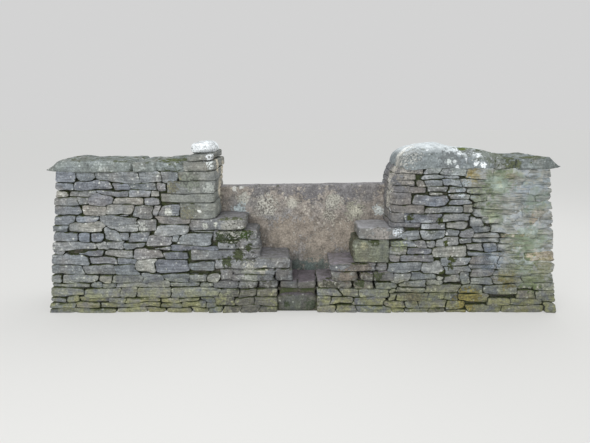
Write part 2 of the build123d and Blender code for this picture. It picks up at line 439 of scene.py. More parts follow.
# Lime mortar was pressed flush and smeared over the right pier, on its front face only. It fades
# in along the wall between two places, further along by a lag that grows from one level down to
# another, and fades out again near the ground.
POINTING_START, POINTING_FULL = 1.18, 1.36
POINTING_LAG, LAG_TOP, LAG_FOOT = 0.34, 1.0, 0.30
POINTING_FOOT, POINTING_WHOLE = 0.20, 0.34
POINTED_FRONT = (-0.17, -0.21)

# thin films of algae, rust and lime over the pointed part, as patches whose colour multiplies
# the colour under them
POINTED_FILMS = [
    (1.46, -0.25, 1.03, 0.12, "eff9e6", 1.0), (1.43, -0.25, 0.81, 0.08, "eff6e4", 1.0),
    (1.74, -0.25, 0.59, 0.13, "f2f9ea", 1.0), (1.73, -0.25, 0.40, 0.09, "f4f9ee", 1.0),
    (1.88, -0.25, 0.38, 0.08, "fcf8e2", 1.0), (1.79, -0.25, 0.81, 0.05, "fff4ea", 1.1),
    (1.56, -0.25, 1.10, 0.05, "fdf7e8", 1.0), (1.46, -0.25, 0.43, 0.09, "eef5ff", 1.1),
    (1.75, -0.25, 0.96, 0.15, "f4f9ff", 1.1),
]


def pointed_coats(tree, place, mark, tint, joint):
    """The coats of the pointed part: a streaky film on the stones, mortar over them and flush in
    their joints, and algae low down. They hardly take to the buff stones."""
    along, across, level = (add(tree, "SeparateXYZ", (place,), axis) for axis in "XYZ")
    spot = add(tree, "Mapping", {"Vector": place, "Scale": (1.0, 1.0, 2.5)})
    links = {"Vector": spot, "Scale": 1000 / 130, "Detail": 5.0, "Roughness": 0.65}
    smear = add(tree, "TexNoise", links)
    smear = add(tree, "MapRange", (smear, 0.47, 0.58))
    filled = add(tree, "Math", (joint, 0.75), operation="MULTIPLY")
    smear = add(tree, "Math", (smear, filled), operation="MAXIMUM")
    wander = add(tree, "MapRange", (mark["cloud"], 0.3, 0.7, -0.16, 0.16))
    reached = add(tree, "Math", (along, wander), operation="ADD")
    lag = add(tree, "MapRange", (level, LAG_TOP, LAG_FOOT, 0.0, POINTING_LAG))
    reached = add(tree, "Math", (reached, lag), operation="SUBTRACT")
    reached = add(tree, "MapRange", (reached, POINTING_START, POINTING_FULL, 0.0, 0.9))
    for limit in (
        (level, POINTING_FOOT, POINTING_WHOLE),
        (across, *POINTED_FRONT),
        (tint, 0.98, 0.93, 0.15, 1.0),
    ):
        limit = add(tree, "MapRange", limit)
        reached = add(tree, "Math", (reached, limit), operation="MULTIPLY")
    film = add(tree, "Math", (reached, 0.65), operation="MULTIPLY")
    streak = add(tree, "MapRange", (mark["bed"], 0.40, 0.60))
    smear = add(tree, "Math", (smear, reached), operation="MULTIPLY")
    low = add(tree, "MapRange", (level, 0.50, 0.12, 0.0, 0.6))
    low = add(tree, "Math", (low, reached), operation="MULTIPLY")
    mottle = add(tree, "MapRange", (mark["grain"], 0.36, 0.64))
    return [
        (film, (streak, "6a6f68", "b4b2a6")),
        (smear, lime_colour(tree, mark)),
        (low, (mottle, "545c42", "888b66")),
    ]


def weathered_stone(
    name, tints, contrast=1.0, beds=1.0, lichen=0.4, crusts="b9bcb6", dots=(26, 0.25), moss=0.3,
    damp_and_shade=(0.36, "77754e"), tread_wear_and_highlight=None, pointed=False, patches=(),
):
    """Field sandstone, split along its bed and left rough. Each stone takes its colour from its
    tint and is stained warm and cool. Over that lie crusts and round dots of pale lichen, algae
    low down, patches of lichen and moss and, on some stones, of painted shade and of painted
    highlight, the tones of clouds, grain and beds, then earth and painted shade in the joints,
    moss, lime where the wall is pointed, and scuffs or mud on a tread, or on the cap a painted
    highlight on what faces up. Dots are their spacing in millimetres and their share, the damp
    is how high algae reach and their colour, which on the left steps is darkened as painted
    shadow, the tread is a share and a dark and a light colour, and patches are as in
    patchwork."""
    material, tree, shader = new_material(name)
    place = add(tree, "TexCoord", out="Object")
    level = add(tree, "SeparateXYZ", (place,), "Z")
    tint, joint, upward = (
        add(tree, "Attribute", out="Fac", attribute_name=key) for key in ("tint", "joint", "upward")
    )
    mark = marked(tree, place)

    stops = [(0.92 * i / (len(tints) - 1), linear(code)) for i, code in enumerate(tints)]
    colour = add(tree, "ValToRGB", (tint,), ramp=[*stops, (0.98, linear("aba08b"))])
    warm = add(tree, "MapRange", (mark["stain"], 0.50, 0.66, 0.0, 0.45 * contrast))
    cool = add(tree, "MapRange", (mark["stain"], 0.50, 0.34, 0.0, 0.45 * contrast))
    edge = 0.64 - 0.12 * lichen
    crust = add(tree, "MapRange", (mark["blotch"], edge, edge + 0.05, 0.0, 0.7))
    shore = add(tree, "MapRange", (mark["stain"], 0.36, 0.56))
    crust = add(tree, "Math", (crust, shore), operation="MULTIPLY")
    spacing, chance = dots
    ragged = add(tree, "MapRange", (mark["grain"], 0.3, 0.7, -0.16, 0.16))
    dot = add(tree, "TexVoronoi", {"Vector": place, "Scale": 1000 / spacing})
    lot = add(tree, "SeparateColor", (dot.node.outputs["Color"],))
    dot = add(tree, "Math", (dot, ragged), operation="ADD")
    size = add(tree, "MapRange", (lot, 1.0 - chance, 1.0, 0.05, 0.42))
    dot = add(tree, "MapRange", (dot, size, 0.02, 0.0, 1.8))
    lot = add(tree, "MapRange", (lot, 1.0 - chance, 1.05 - chance))
    dot = add(tree, "Math", (dot, lot), operation="MULTIPLY", use_clamp=True)
    # algae low down; on the left steps their darker colour also paints shadow
    highest, slime = damp_and_shade
    algae = add(tree, "MapRange", (mark["cloud"], 0.36, 0.58))
    height = add(tree, "MapRange", (level, highest, 0.3 * highest, 0.0, 0.66))
    algae = add(tree, "Math", (algae, height), operation="MULTIPLY")
    grown = patchwork(tree, place, mark, patches)
    coats = [(warm, "827b72"), (cool, "70767c"), (crust, crusts), (dot, crusts), (algae, slime)]
    colour = coated(tree, colour, coats + grown)
    relief = 0.0
    for near, _ in grown:
        relief = add(tree, "Math", (near, relief), operation="MAXIMUM")
    tones = []
    for key, change in (("cloud", 0.24), ("grain", 0.30), ("bed", 0.20 * beds)):
        change *= contrast
        tone = add(tree, "MapRange", (mark[key], 0.36, 0.64, 1.0 - change, 1.0 + change))
        tones.append((1.0, tone))
    colour = coated(tree, colour, tones, "MULTIPLY")

    tuft = add(tree, "MapRange", (mark["tuft"], 0.62 - 0.25 * moss, 0.67 - 0.25 * moss))
    bank = add(tree, "MapRange", (joint, 0.1, 0.5, 0.0, 0.9))
    bank = add(tree, "Math", (bank, shore), operation="MULTIPLY")
    face_up = add(tree, "MapRange", (upward, 0.35, 0.85))
    bank = add(tree, "Math", (bank, face_up), operation="MAXIMUM")
    growth = add(tree, "Math", (tuft, bank), operation="MULTIPLY")
    # earth in the joints, with painted shade on the stones' sides and arrises where they run into
    # them
    deep = add(tree, "Math", (joint, 0.9), operation="MULTIPLY")
    coats = [
        (deep, (mark["grain"], "3e413e", "666b64")),
        (growth, (mark["grain"], "2c331f", "585f38")),
    ]
    if pointed:
        coats += pointed_coats(tree, place, mark, tint, joint)
    # scuffs or mud on a tread, and on the cap a painted highlight on what faces up
    if tread_wear_and_highlight:
        share, dark, light = tread_wear_and_highlight
        worn = add(tree, "MapRange", (mark["cloud"], 0.25, 0.60, 0.6 * share, share))
        flat = add(tree, "MapRange", (upward, 0.60, 0.90))
        flat = add(tree, "Math", (flat, relief), operation="SUBTRACT", use_clamp=True)
        worn = add(tree, "Math", (worn, flat), operation="MULTIPLY")
        tone = add(tree, "MapRange", (mark["blotch"], 0.36, 0.64))
        coats.append((worn, (tone, dark, light)))
    colour = coated(tree, colour, coats)
    if pointed:
        colour = coated(tree, colour, patchwork(tree, place, mark, POINTED_FILMS), "MULTIPLY")

    rough = add(tree, "MapRange", (mark["grain"], 0.2, 0.8, 0.78, 0.97))
    pits = add(tree, "Math", (mark["grain"], 0.6), operation="MULTIPLY")
    ridges = add(tree, "Math", (mark["bed"], beds), operation="MULTIPLY")
    pits = add(tree, "Math", (pits, ridges), operation="ADD")
    bump = add(tree, "Bump", {"Strength": 0.8, "Distance": 0.005, "Height": pits})
    raised = add(tree, "Math", (growth, relief), operation="MAXIMUM")
    links = {"Strength": 0.7, "Distance": 0.004, "Height": raised, "Normal": bump}
    bump = add(tree, "Bump", links)
    links = {"Base Color": colour, "Roughness": rough, "Normal": bump, "IOR": 1.5}
    set_inputs(tree, shader, {**links, "Specular IOR Level": 0.25})
    return material


def packing_earth():
    """Small rubble and washed-in earth deep in the joints: nearly black, never shiny, and green
    with moss in places."""
    material, tree, shader = new_material("packed_rubble_and_earth")
    place = add(tree, "TexCoord", out="Object")
    lumps = add(tree, "TexNoise", {"Vector": place, "Scale": 1000 / 17, "Detail": 5.0})
    moss = add(tree, "TexNoise", {"Vector": place, "Scale": 1000 / 60, "Detail": 5.0})
    moss = add(tree, "MapRange", (moss, 0.44, 0.56, 0.0, 0.8))
    stops = [(0.35, linear("403e38")), (0.65, linear("646156"))]
    rubble = add(tree, "ValToRGB", (lumps,), ramp=stops)
    colour = coated(tree, rubble, [(moss, "434e2a")])
    bump = add(tree, "Bump", {"Strength": 1.0, "Distance": 0.01, "Height": lumps})
    set_inputs(tree, shader, {"Base Color": colour, "Roughness": 0.95, "Normal": bump})
    return material


walling_stone = weathered_stone(
    "weathered_sandstone_walling",
    (
        "6d7275", "7e8385", "747676", "878c8e", "696c73", "8c8e8c", "787f89", "807d79", "92938d",
        "70727a",
    ),
    pointed=True, beds=1.4, moss=0.7, damp_and_shade=(0.36, "767640"),
    patches=[
        (1.27, -0.24, 1.085, 0.070, "93865b", 0.9), (1.32, -0.24, 1.090, 0.035, "8c8260", 0.7),
        (1.09, -0.24, 0.955, 0.025, "c9d1d6", 1.0), (1.19, -0.24, 0.965, 0.040, "c9d1d6", 0.8),
        (1.27, -0.24, 0.935, 0.035, "aeb9c2", 0.8), (1.22, -0.24, 1.02, 0.060, "9aa4ab", 0.6),
        (0.843, -0.25, 0.690, 0.014, "e6e8e8", 1.6), (0.895, -0.25, 0.685, 0.024, "b9c2c8", 1.0),
        (1.10, -0.25, 0.645, 0.013, "dfe2e2", 1.6), (1.51, -0.25, 0.675, 0.020, "ccd2d4", 1.4),
        (0.73, -0.25, 0.640, 0.030, "c3cdd3", 0.9), (0.745, -0.25, 0.555, 0.060, "858b70", 0.5),
        (1.62, -0.25, 0.56, 0.09, "7d8470", 0.6), (1.66, -0.25, 0.42, 0.10, "76806a", 0.6),
        (1.80, -0.25, 0.30, 0.12, "64714c", 0.9), (1.60, -0.25, 0.28, 0.08, "807b58", 0.8),
        (1.30, -0.25, 0.11, 0.10, "8a8250", 0.7), (0.87, -0.25, 0.13, 0.07, "7c7862", 0.6),
        (1.45, -0.25, 0.764, 0.045, "c8c9b6", 1.2), (1.76, -0.24, 0.83, 0.080, "b4babd", 0.8),
        (1.34, -0.25, 0.96, 0.10, "868c74", 0.5), (1.92, -0.24, 0.72, 0.05, "a9a294", 0.6),
        (1.76, -0.24, 0.76, 0.04, "a5917f", 0.6), (0.94, -0.24, 1.11, 0.075, "9da0a3", 0.9),
        (1.53, -0.25, 0.44, 0.080, "9da1a2", 0.8), (0.83, -0.24, 1.13, 0.060, "8a8c87", 0.8),
        (1.00, -0.24, 1.13, 0.070, "8d9290", 0.8), (1.16, -0.24, 1.12, 0.070, "8d9391", 0.9),
        (1.15, -0.24, 1.055, 0.060, "9ea4a6", 0.8), (0.93, -0.25, 0.700, 0.055, "a0a4a6", 0.8),
        (0.79, -0.25, 0.215, 0.060, "8f9080", 0.7), (1.10, -0.25, 0.570, 0.030, "454c2b", 1.0),
        (1.16, -0.25, 0.444, 0.028, "454c2b", 1.0), (1.15, -0.25, 0.387, 0.028, "454c2b", 1.0),
        (1.05, -0.25, 0.745, 0.026, "454c2b", 1.0), (0.82, -0.25, 0.768, 0.028, "4b5133", 0.9),
        # the broad dark patch at -0.42 under the left steps is dark earth and painted shadow
        (1.09, -0.25, 0.322, 0.026, "454c2b", 1.0), (-0.42, -0.26, 0.10, 0.200, "6c6b63", 0.6),
        (-1.02, -0.25, 0.81, 0.035, "b7b9b2", 0.8), (-1.25, -0.25, 0.69, 0.050, "b0b2ad", 0.6),
    ],
)
packing = packing_earth()


def packed(low_ends, high_ends, low, high, back=None):
    """Packing between two levels: a frustum, set back from the front and from the back of the
    wall or ending at a given back, with its ends at both levels."""
    corners = []
    for level, (start, end) in ((low, low_ends), (high, high_ends)):
        half = face_depth(level) - PACKING_DEPTH
        rear = half if back is None else back
        plan = [(start, -half), (end, -half), (end, rear), (start, rear)]
        corners += [(*corner, level) for corner in plan]
    quads = [(3, 2, 1, 0), (4, 5, 6, 7), (0, 1, 5, 4), (1, 2, 6, 5), (2, 3, 7, 6), (3, 0, 4, 7)]
    return {
        "points": np.array(corners),
        "corners": np.array(quads).ravel(),
        "sizes": np.full(6, 4),
        "tint": np.zeros(8),
        "joint": np.ones(8),
        "material": 1,
    }


# the stones that show on the front of the right pier, in millimetres: left, right, bottom, top
# and how much higher the right end is than the left
RIGHT_FRONT = [
    (1030, 1220, 1090, 1150, 8), (910, 1060, 1070, 1095, 0), (1065, 1170, 1065, 1090, 0),
    (850, 915, 1010, 1050, 0), (910, 1025, 1100, 1150, 0), (920, 1045, 1010, 1050, 4),
    (1050, 1190, 1015, 1060, -6), (935, 1090, 970, 1005, 0), (1095, 1230, 965, 1010, 6),
    (955, 1055, 940, 965, -4), (830, 1100, 860, 940, -4), (1095, 1260, 915, 960, 0),
    (1110, 1270, 870, 910, 0), (930, 1215, 805, 860, 0), (1220, 1300, 810, 870, 0),
    (780, 825, 735, 805, 0), (830, 1055, 730, 800, 10), (1060, 1275, 740, 800, -8),
    (900, 1090, 675, 725, 0), (1090, 1240, 685, 740, 4), (705, 905, 605, 665, 2),
    (910, 1085, 600, 670, 0), (1090, 1190, 630, 680, 0), (1195, 1300, 620, 680, 0),
    (670, 855, 545, 590, 0), (860, 940, 545, 600, 0), (940, 1010, 540, 590, 0),
    (680, 800, 480, 535, 0), (805, 990, 480, 535, -6), (995, 1265, 460, 550, 22),
    (1020, 1190, 555, 620, 14), (1075, 1300, 395, 455, 26), (760, 1010, 425, 475, 0),
    (670, 755, 420, 475, 0), (695, 920, 335, 415, -6), (925, 1095, 310, 415, 0),
    (1110, 1305, 320, 385, 24), (690, 835, 255, 325, 4), (840, 1050, 275, 335, -6),
    (1050, 1105, 245, 305, 0), (1110, 1235, 260, 310, 8), (565, 732, 199, 258, 0),
    (765, 960, 215, 265, 0), (970, 1105, 230, 275, 6), (740, 960, 170, 210, 0),
    (965, 1220, 175, 225, 6), (670, 730, 170, 210, 0), (670, 740, 105, 160, 0),
    (745, 990, 100, 160, 4), (995, 1110, 110, 165, 0), (675, 805, 45, 100, 0),
    (810, 910, 40, 100, 0), (915, 1135, 45, 105, -4), (1120, 1225, 105, 165, 0),
    (1140, 1280, 30, 95, 0), (670, 800, 0, 40, 0), (805, 990, 0, 40, 0), (995, 1135, 0, 40, 0),
    (1140, 1300, 0, 30, 0),
]
RIGHT_FRONT_END = 1.20  # from here on only the stones of the next list are placed, among others

RIGHT_FRONT_POINTED = [
    (1360, 1525, 745, 785, 0), (1305, 1515, 610, 650, 0), (1520, 1705, 620, 650, 0, BUFF),
    (1715, 1925, 445, 505, 0, BUFF), (1790, 1930, 335, 395, 0), (1715, 1945, 260, 320, 0),
    (1490, 1710, 250, 305, 0), (1310, 1485, 240, 290, 0), (1245, 1420, 170, 225, 0),
    (1425, 1680, 160, 235, 0), (1240, 1465, 95, 155, 0),
]

# the same for the left pier, whose outer half is plain walling like the rest
LEFT_FRONT = [
    (-1085, -945, 785, 860, 0), (-1290, -1145, 770, 855, 0), (-1400, -1295, 770, 810, 0),
    (-1115, -865, 720, 775, -6), (-1120, -865, 630, 715, 6), (-1265, -1125, 670, 755, 0),
    (-960, -680, 555, 650, 4), (-860, -675, 655, 670, 0), (-1195, -1015, 550, 625, 0),
    (-1415, -1335, 600, 655, 0), (-1515, -1385, 530, 590, 0), (-1020, -685, 500, 550, -4),
    (-1080, -890, 445, 495, 0), (-1145, -890, 350, 425, 4), (-885, -675, 350, 415, 0),
    (-1300, -1150, 350, 430, 0), (-1220, -1020, 500, 550, 0),
]

# and for the foot courses of both flights
LEFT_FOOT = [
    (-640, -492, 0, 58, 0), (-488, -352, 0, 70, 4), (-350, -204, 0, 60, 0),
    (-695, -540, 60, 142, 0), (-538, -390, 72, 128, 0), (-388, -204, 62, 132, -6),
    (-650, -505, 144, 198, 0), (-503, -372, 130, 198, 0), (-370, -204, 134, 198, 6),
]
RIGHT_FOOT = [
    (112, 268, 0, 62, 0), (270, 430, 0, 70, 0), (432, 700, 0, 58, 4), (112, 214, 64, 140, 0),
    (216, 392, 72, 130, 4), (394, 642, 60, 128, 0), (112, 296, 142, 196, -4),
    (298, 442, 132, 194, 0), (444, 690, 130, 194, 6),
]
FOOT_TOP, LEFT_FOOT_END, RIGHT_FOOT_END = 0.197, 0.204, 0.112

# levels of the beds between the jamb stones, their lengths along the wall, and the tails of the
# top steps under them and of the left middle bearer
JAMB_LEVELS = {
    "left": (0.760, 0.887, 0.956, 1.050, 1.124, 1.200),
    "right": (0.693, 0.734, 0.808, 0.866, 0.958, 1.008, 1.053, 1.102, 1.151),
}
JAMB_LENGTHS = {
    "left": (0.270, 0.420, 0.360, 0.280, 0.225),
    "right": (0.230, 0.105, 0.260, 0.150, 0.265, 0.180, 0.180, 0.235),
}
STEP_TAIL = {"left": (-0.8625, -0.6675, 0.668, 0.760), "right": (0.6675, 0.7775, 0.592, 0.693)}
LEFT_BEARER_TAIL = (-0.890, -0.668, 0.424, 0.522, 0.0)
LIFTS = {
    "left": (("footing", 0.0, 0.160), ("lower_lift", 0.160, 0.668), ("upper_lift", 0.668, 1.126)),
    "right": (("footing", 0.0, 0.160), ("lower_lift", 0.160, 0.592), ("upper_lift", 0.592, 1.151)),
}
# how far from the middle the steps' stones reach into the front face, up to each level
BOND = {
    "left": (
        (0.064, 0.640), (0.144, 0.695), (0.198, 0.650), (0.260, 0.700), (0.357, 0.655),
        (0.434, 0.690), (0.522, 0.640), (0.592, 0.650), (0.667, 0.695),
    ),
    "right": (
        (0.058, 0.700), (0.128, 0.645), (0.194, 0.690), (0.261, 0.562), (0.343, 0.695),
        (0.412, 0.650), (0.592, 0.675),
    ),
}


def bond(name, level):
    """The end of the steps' stones at a level, and the jamb above them."""
    return next((reach for top, reach in BOND[name] if level < top), JAMB)


def jamb_cells(side, name):
    """The cells that the jamb stones and, last, the top step's tail take up on the face."""
    levels = JAMB_LEVELS[name]
    cells = [
        (*sorted((side * JAMB, side * (JAMB + length))), low, high, 0.0)
        for length, low, high in zip(JAMB_LENGTHS[name], levels, levels[1:])
    ]
    return cells + [(*STEP_TAIL[name], 0.0)]


def step_cells(side, name):
    """The cells that the steps' blocks take up beside the wall's front face."""
    lows = [0.0] + [top for top, _ in BOND[name]]
    cells = []
    for low, (top, reach) in zip(lows, BOND[name]):
        if top > FOOT_TOP + 0.01:
            cells.append((*sorted((side * 0.40, side * reach)), max(low, FOOT_TOP), top, 0.0))
    return cells


def flipped(cells):
    """The same cells as seen from the other face of the wall."""
    return [(-c[1], -c[0], c[2], c[3], -c[4]) for c in cells]


def build_pier(side, name, shown, foot, foot_end, seed):
    """The walling of one pier: the stones that show, courses round them, the back and the end,
    shared out to the three lifts by the middle of each stone. The stones under the steps bond
    with it, so they are made with it, and its front face is given back for them."""
    top = LIFTS[name][-1][2]
    jambs = jamb_cells(side, name)
    front = []
    for cell in shown:
        u = sorted(side * edge / 1000 for edge in cell[:2])
        v = [level / 1000 for level in cell[2:4]]
        start = bond(name, sum(v) / 2)
        if abs(u[0] - start) < 0.05 and v[1] < jambs[-1][2]:
            u[0] = start
        front.append((*sorted(side * edge for edge in u), *v, cell[4] / 1000, *cell[5:]))
    front += [tuple(edge / 1000 for edge in cell) for cell in foot]
    fixed = {"front": jambs + step_cells(side, name), "back": flipped(jambs[:-1])}
    if side < 0:
        fixed["front"].append(LEFT_BEARER_TAIL)
        taken, stone_size = fixed["front"], {}
        ends = (lambda v: -face_end(v), lambda v: -bond(name, v))
        back_ends = (lambda v: JAMB, face_end)
    else:
        taken, stone_size = jambs, {"height": 0.055, "length": 0.21}
        ends = (lambda v: RIGHT_FRONT_END, face_end)
        back_ends = (lambda v: -face_end(v), lambda v: -JAMB)
    rest = courses(*ends, 0.0, top, seed, taken=front + taken, **stone_size)
    back = courses(*back_ends, 0.0, top, seed + 1, taken=fixed["back"])

    # stones at the outer corners reach 90 to 210 mm into the end, which is laid between them
    random = np.random.default_rng(seed + 90)
    faces = {"front": front + rest, "back": back}
    depths, corner = {}, []
    for face, cells in faces.items():
        towards = side if face == "front" else -side
        depths[face] = np.full((len(cells), 1), STONE_DEPTH)
        for number, cell in enumerate(cells):
            level = (cell[2] + cell[3]) / 2
            if max(towards * cell[0], towards * cell[1]) > face_end(level) - 0.03:
                depths[face][number] = deep = random.uniform(0.09, 0.21)
                edge = -towards * face_depth(level)
                corner.append((*sorted((edge, edge + towards * deep)), cell[2], cell[3], 0.0))
    end = name + "_end"
    faces[end] = courses(
        lambda v: -face_depth(v), face_depth, 0.0, top, seed + 2, length=0.16, taken=corner
    )
    fixed[end] = corner

    stones = {}
    for number, (face, cells) in enumerate(faces.items()):
        towards = side if face == "front" else -side
        inner = foot_end if face == "front" else JAMB - 0.002

        def within(u, v, sideways=False):
            """How far outside the face a place lies, or only how far past its two ends."""
            if face == end:
                over = np.abs(u) - face_depth(v) + 0.06
            else:
                over = np.maximum(towards * u - face_end(v), inner - towards * u)
            return over if sideways else np.maximum(over, np.maximum(0.001 - v, v - top + 0.002))

        around, growth = {"front": (36, 0.018), "back": (22, 0.04)}.get(face, (22, 0.07))
        stones[face] = face_stones(
            cells, fixed[face], face, within, seed * 7 + number, around, growth, depths.get(face)
        )
    for lift, low, high in LIFTS[name]:
        skins = [chosen_stones(stones[face], low, high) for face in ("front", "back")]
        skins.append(chosen_stones(stones[end], low, high, 0.0))
        high -= 0.01 if lift == "upper_lift" else 0.0
        ends = [
            sorted((side * (JAMB + 0.06), side * (face_end(level) - PACKING_DEPTH)))
            for level in (low, high)
        ]
        skins.append(packed(*ends, low, high))
        if lift == "lower_lift":
            ends = sorted((side * 0.60, side * (JAMB + 0.08)))
            skins.append(packed(ends, ends, 0.255, high, SLAB_FACE))
        label = f"{name}_{lift}"
        make_piece(label + "_stones", skins, [walling_stone, packing], [label])
    return stones["front"]


left_front = build_pier(-1, "left", LEFT_FRONT, LEFT_FOOT, LEFT_FOOT_END, 11)
right_front = build_pier(
    1, "right", RIGHT_FRONT + RIGHT_FRONT_POINTED, RIGHT_FOOT, RIGHT_FOOT_END, 23
)


# Blocks: the jamb stones, steps and copes
# Whole stones that show more than one face. Each is a flat bed of sandstone with roughly squared
# ends, its upright corners rounded in plan and its arrises worn.


def rounded_outline(half_x, half_y, radii, counts):
    """A rectangle with rounded corners, from its left front corner round to the right, with that
    many points on each side and one radius r at each end. A point p on the sharp rectangle is
    moved to q + r n, where q is p held r inside it and n points from q to p. Gives the points and
    the unit outward directions."""
    ends = np.array([(-1, -1), (1, -1), (1, 1), (-1, 1), (-1, -1)]) * (half_x, half_y)
    sharp = []
    for number, count in enumerate(counts):
        step = (1.0 - np.cos(np.pi * np.arange(count) / count)) / 2.0
        sharp.append(ends[number] + step[:, None] * (ends[number + 1] - ends[number]))
    sharp = np.concatenate(sharp)
    left, right = np.clip(radii, 0.003, 0.98 * min(half_x, half_y))
    radius = np.where(sharp[:, :1] < 0.0, left, right)
    across = np.clip(sharp[:, :1], left - half_x, half_x - right)
    inner = np.hstack([across, np.clip(sharp[:, 1:], radius - half_y, half_y - radius)])
    away = sharp - inner
    away /= np.linalg.norm(away, axis=1, keepdims=True)
    return inner + radius * away, away


def ringed(rings, tint, joint):
    """The skin of rings of points joined in turn, closed by fans to the middles of the first and
    the last ring."""
    corners, sizes = closed_skin(*rings.shape[:2])
    points = np.concatenate([rings.reshape(-1, 3), [rings[0].mean(0)], [rings[-1].mean(0)]])
    tint = np.full(len(points), tint)
    return {"points": points, "corners": corners, "sizes": sizes, "tint": tint, "joint": joint}


def block(
    x, y, z, seed, rounding=0.014, arris=0.010, rough=0.004, bedding=0.003, around=72, levels=6,
    slope=0.0, dish=0.0, lean=(True, False), seam_earth_and_shade=(0.8, 0.0), tint=None, skew=0.008, settled=1.0,
):
    """A bedded block between two x, two y and two z. Its rounded plan is carried up from a pole
    under it, round the lower arris, up the sides and over the top to a pole. Slope lifts the top
    at the right by as much as it lowers the left, dish hollows it, and lean lets the front or
    the back follow the wall's face. The sides step in and out with the beds. Seams are how dark
    its foot and its top are, with earth and painted shade where it meets the stones next to it.
    The block is a little wedge-shaped, and settled is its share of the smooth shifts, up to 9 mm,
    that all the blocks have in common, so that their joints wander and still fit."""
    random = np.random.default_rng(seed)
    half = np.array([x[1] - x[0], y[1] - y[0]]) / 2
    arris = min(arris, 0.45 * (z[1] - z[0]))
    rounding = np.array(rounding) * (1.0, 1.0)
    sides = np.tile(half, 2)
    counts = np.maximum(np.round(around * sides / sides.sum()), 3).astype(int)
    inside, _ = rounded_outline(*(half - arris), rounding - arris, counts)
    # each ring is a share of the plan on a bed, or the whole plan at a level, drawn in by an inset
    turn = np.radians([0.0, 30.0, 60.0, 90.0])
    bends = [(arris * (1 - math.cos(t)), arris * (1 - math.sin(t))) for t in turn]
    rings = [(0.55, z[0], 0.0), (0.85, z[0], 0.0)]
    rings += [(None, z[0] + rise, inset) for rise, inset in bends]
    rings += [(None, v, 0.0) for v in np.linspace(z[0] + arris, z[1] - arris, levels + 2)[1:-1]]
    rings += [(None, z[1] - rise, inset) for rise, inset in bends[::-1]]
    rings += [(share, z[1], 0.0) for share in (0.90, 0.75, 0.55, 0.35, 0.17)]
    points, pushes, hollow, dark = [], [], [], []
    for share, level, inset in rings:
        if share is None:
            outline, away = rounded_outline(*(half - inset), rounding - inset, counts)
            hollow.append(0.0)
        else:
            outline, away = inside * share, inside * 0.0
            hollow.append(1.0 - share**2)
        count = len(outline)
        points.append(np.column_stack([outline, np.full(count, level)]))
        pushes.append(away)
        # the rings at the foot and at the top take earth and painted shade in the seams
        near_top, near_foot = level > z[1] - 0.3 * arris, level < z[0] + 0.3 * arris
        dark.append(seam_earth_and_shade[0] * near_foot + seam_earth_and_shade[1] * near_top)
    points, pushes = np.array(points), np.array(pushes)
    count = points.shape[1]
    hollow = np.array(hollow)[:, None]
    upper = (points[..., 2] - z[0]) / (z[1] - z[0])

    corner = random.uniform(-skew, skew, (4, 2))
    s, t = points[..., 0] / half[0], points[..., 1] / half[1]
    weights = [(1 - s) * (1 - t), (1 + s) * (1 - t), (1 + s) * (1 + t), (1 - s) * (1 + t)]
    for weight, move in zip(weights, corner):
        points[..., :2] += weight[..., None] / 4 * move
    across = (t + 1.0) / 2.0
    points[..., 0] += (x[0] + x[1]) / 2
    points[..., 1] += (y[0] + y[1]) / 2
    points[..., 1] += FACE_BATTER * points[..., 2] * ((1 - across) * lean[0] - across * lean[1])
    points[..., 2] += upper * (slope * s - dish * hollow)
    wedge = settled * random.uniform(-0.09, 0.09)
    points[..., 2] += wedge * s * (points[..., 2] - (z[0] + z[1]) / 2)

    beds = noise(points, (0.20, 0.20, 0.016), seed + 5)
    beds += 0.5 * noise(points, (0.07, 0.07, 0.006), seed + 6)
    points[..., :2] += pushes * (bedding * beds)[..., None]
    shift = [noise(points, (0.075, 0.075, 0.05), seed + i) for i in (7, 8, 9)]
    shift = np.stack(shift, -1) * (rough, rough, 0.7 * rough)
    fine = noise(points, 0.022, seed + 4)[..., None] * (0.2 * rough, 0.2 * rough, 0.25 * rough)
    shared = [noise(points, (0.12, 0.40, 0.05), 41), noise(points, (0.15, 0.40, 0.10), 42)]
    points += shift + fine
    points[..., 0] += 0.007 * settled * shared[0]
    points[..., 2] += 0.009 * settled * shared[1] * np.clip(points[..., 2] / 0.06, 0.0, 1.0)
    points[..., 2] = np.maximum(points[..., 2], 0.0)
    joint = np.concatenate([np.repeat(dark, count), seam_earth_and_shade])
    if seam_earth_and_shade[1] == 0.0:
        joint[count * (len(rings) - 5) :] = 0.0  # a bare top
    return ringed(points, 0.9 * random.random() if tint is None else tint, joint)


def shoulder(points):
    """Draws a stone's inner end back to the pier's rounded shoulder, by l (1 - sqrt(1 - t^2)),
    where t goes from 0 where the shoulder begins to 1 at its crown and l is its length. The draw
    fades out over 170 mm of the stone."""
    start, height, length = 0.99, 0.344, 0.42
    rise = np.clip((points[:, 2] - start) / height, 0.0, 0.999)
    back = length * (1.0 - np.sqrt(1.0 - rise**2))
    points[:, 0] += back * np.clip(1.0 - (points[:, 0] - JAMB) / 0.17, 0.0, 1.0)


def build_jamb(side, name, material, rounding, seam_earth_and_shade):
    """The through stones of a jamb, as deep as the wall and rounded only where people pass. Those
    on the right are drawn back to the shoulder."""
    levels = JAMB_LEVELS[name]
    beds = zip(JAMB_LENGTHS[name], levels, levels[1:])
    for number, (length, low, high) in enumerate(beds, 1):
        stone = block(
            sorted((side * JAMB, side * (JAMB + length))), (-HALF_THICKNESS, HALF_THICKNESS),
            (low + 0.001, high - 0.001), seed=100 + 20 * side + number,
            rounding=(rounding, 0.012)[::side], around=110, rough=0.005, lean=(True, True),
            levels=max(3, round((high - low) / 0.012)), seam_earth_and_shade=seam_earth_and_shade,
        )
        if side > 0:
            shoulder(stone["points"])
        label = f"{name}_jamb_stone_{number}"
        make_piece(label + "_rough", [stone], [material], [label])


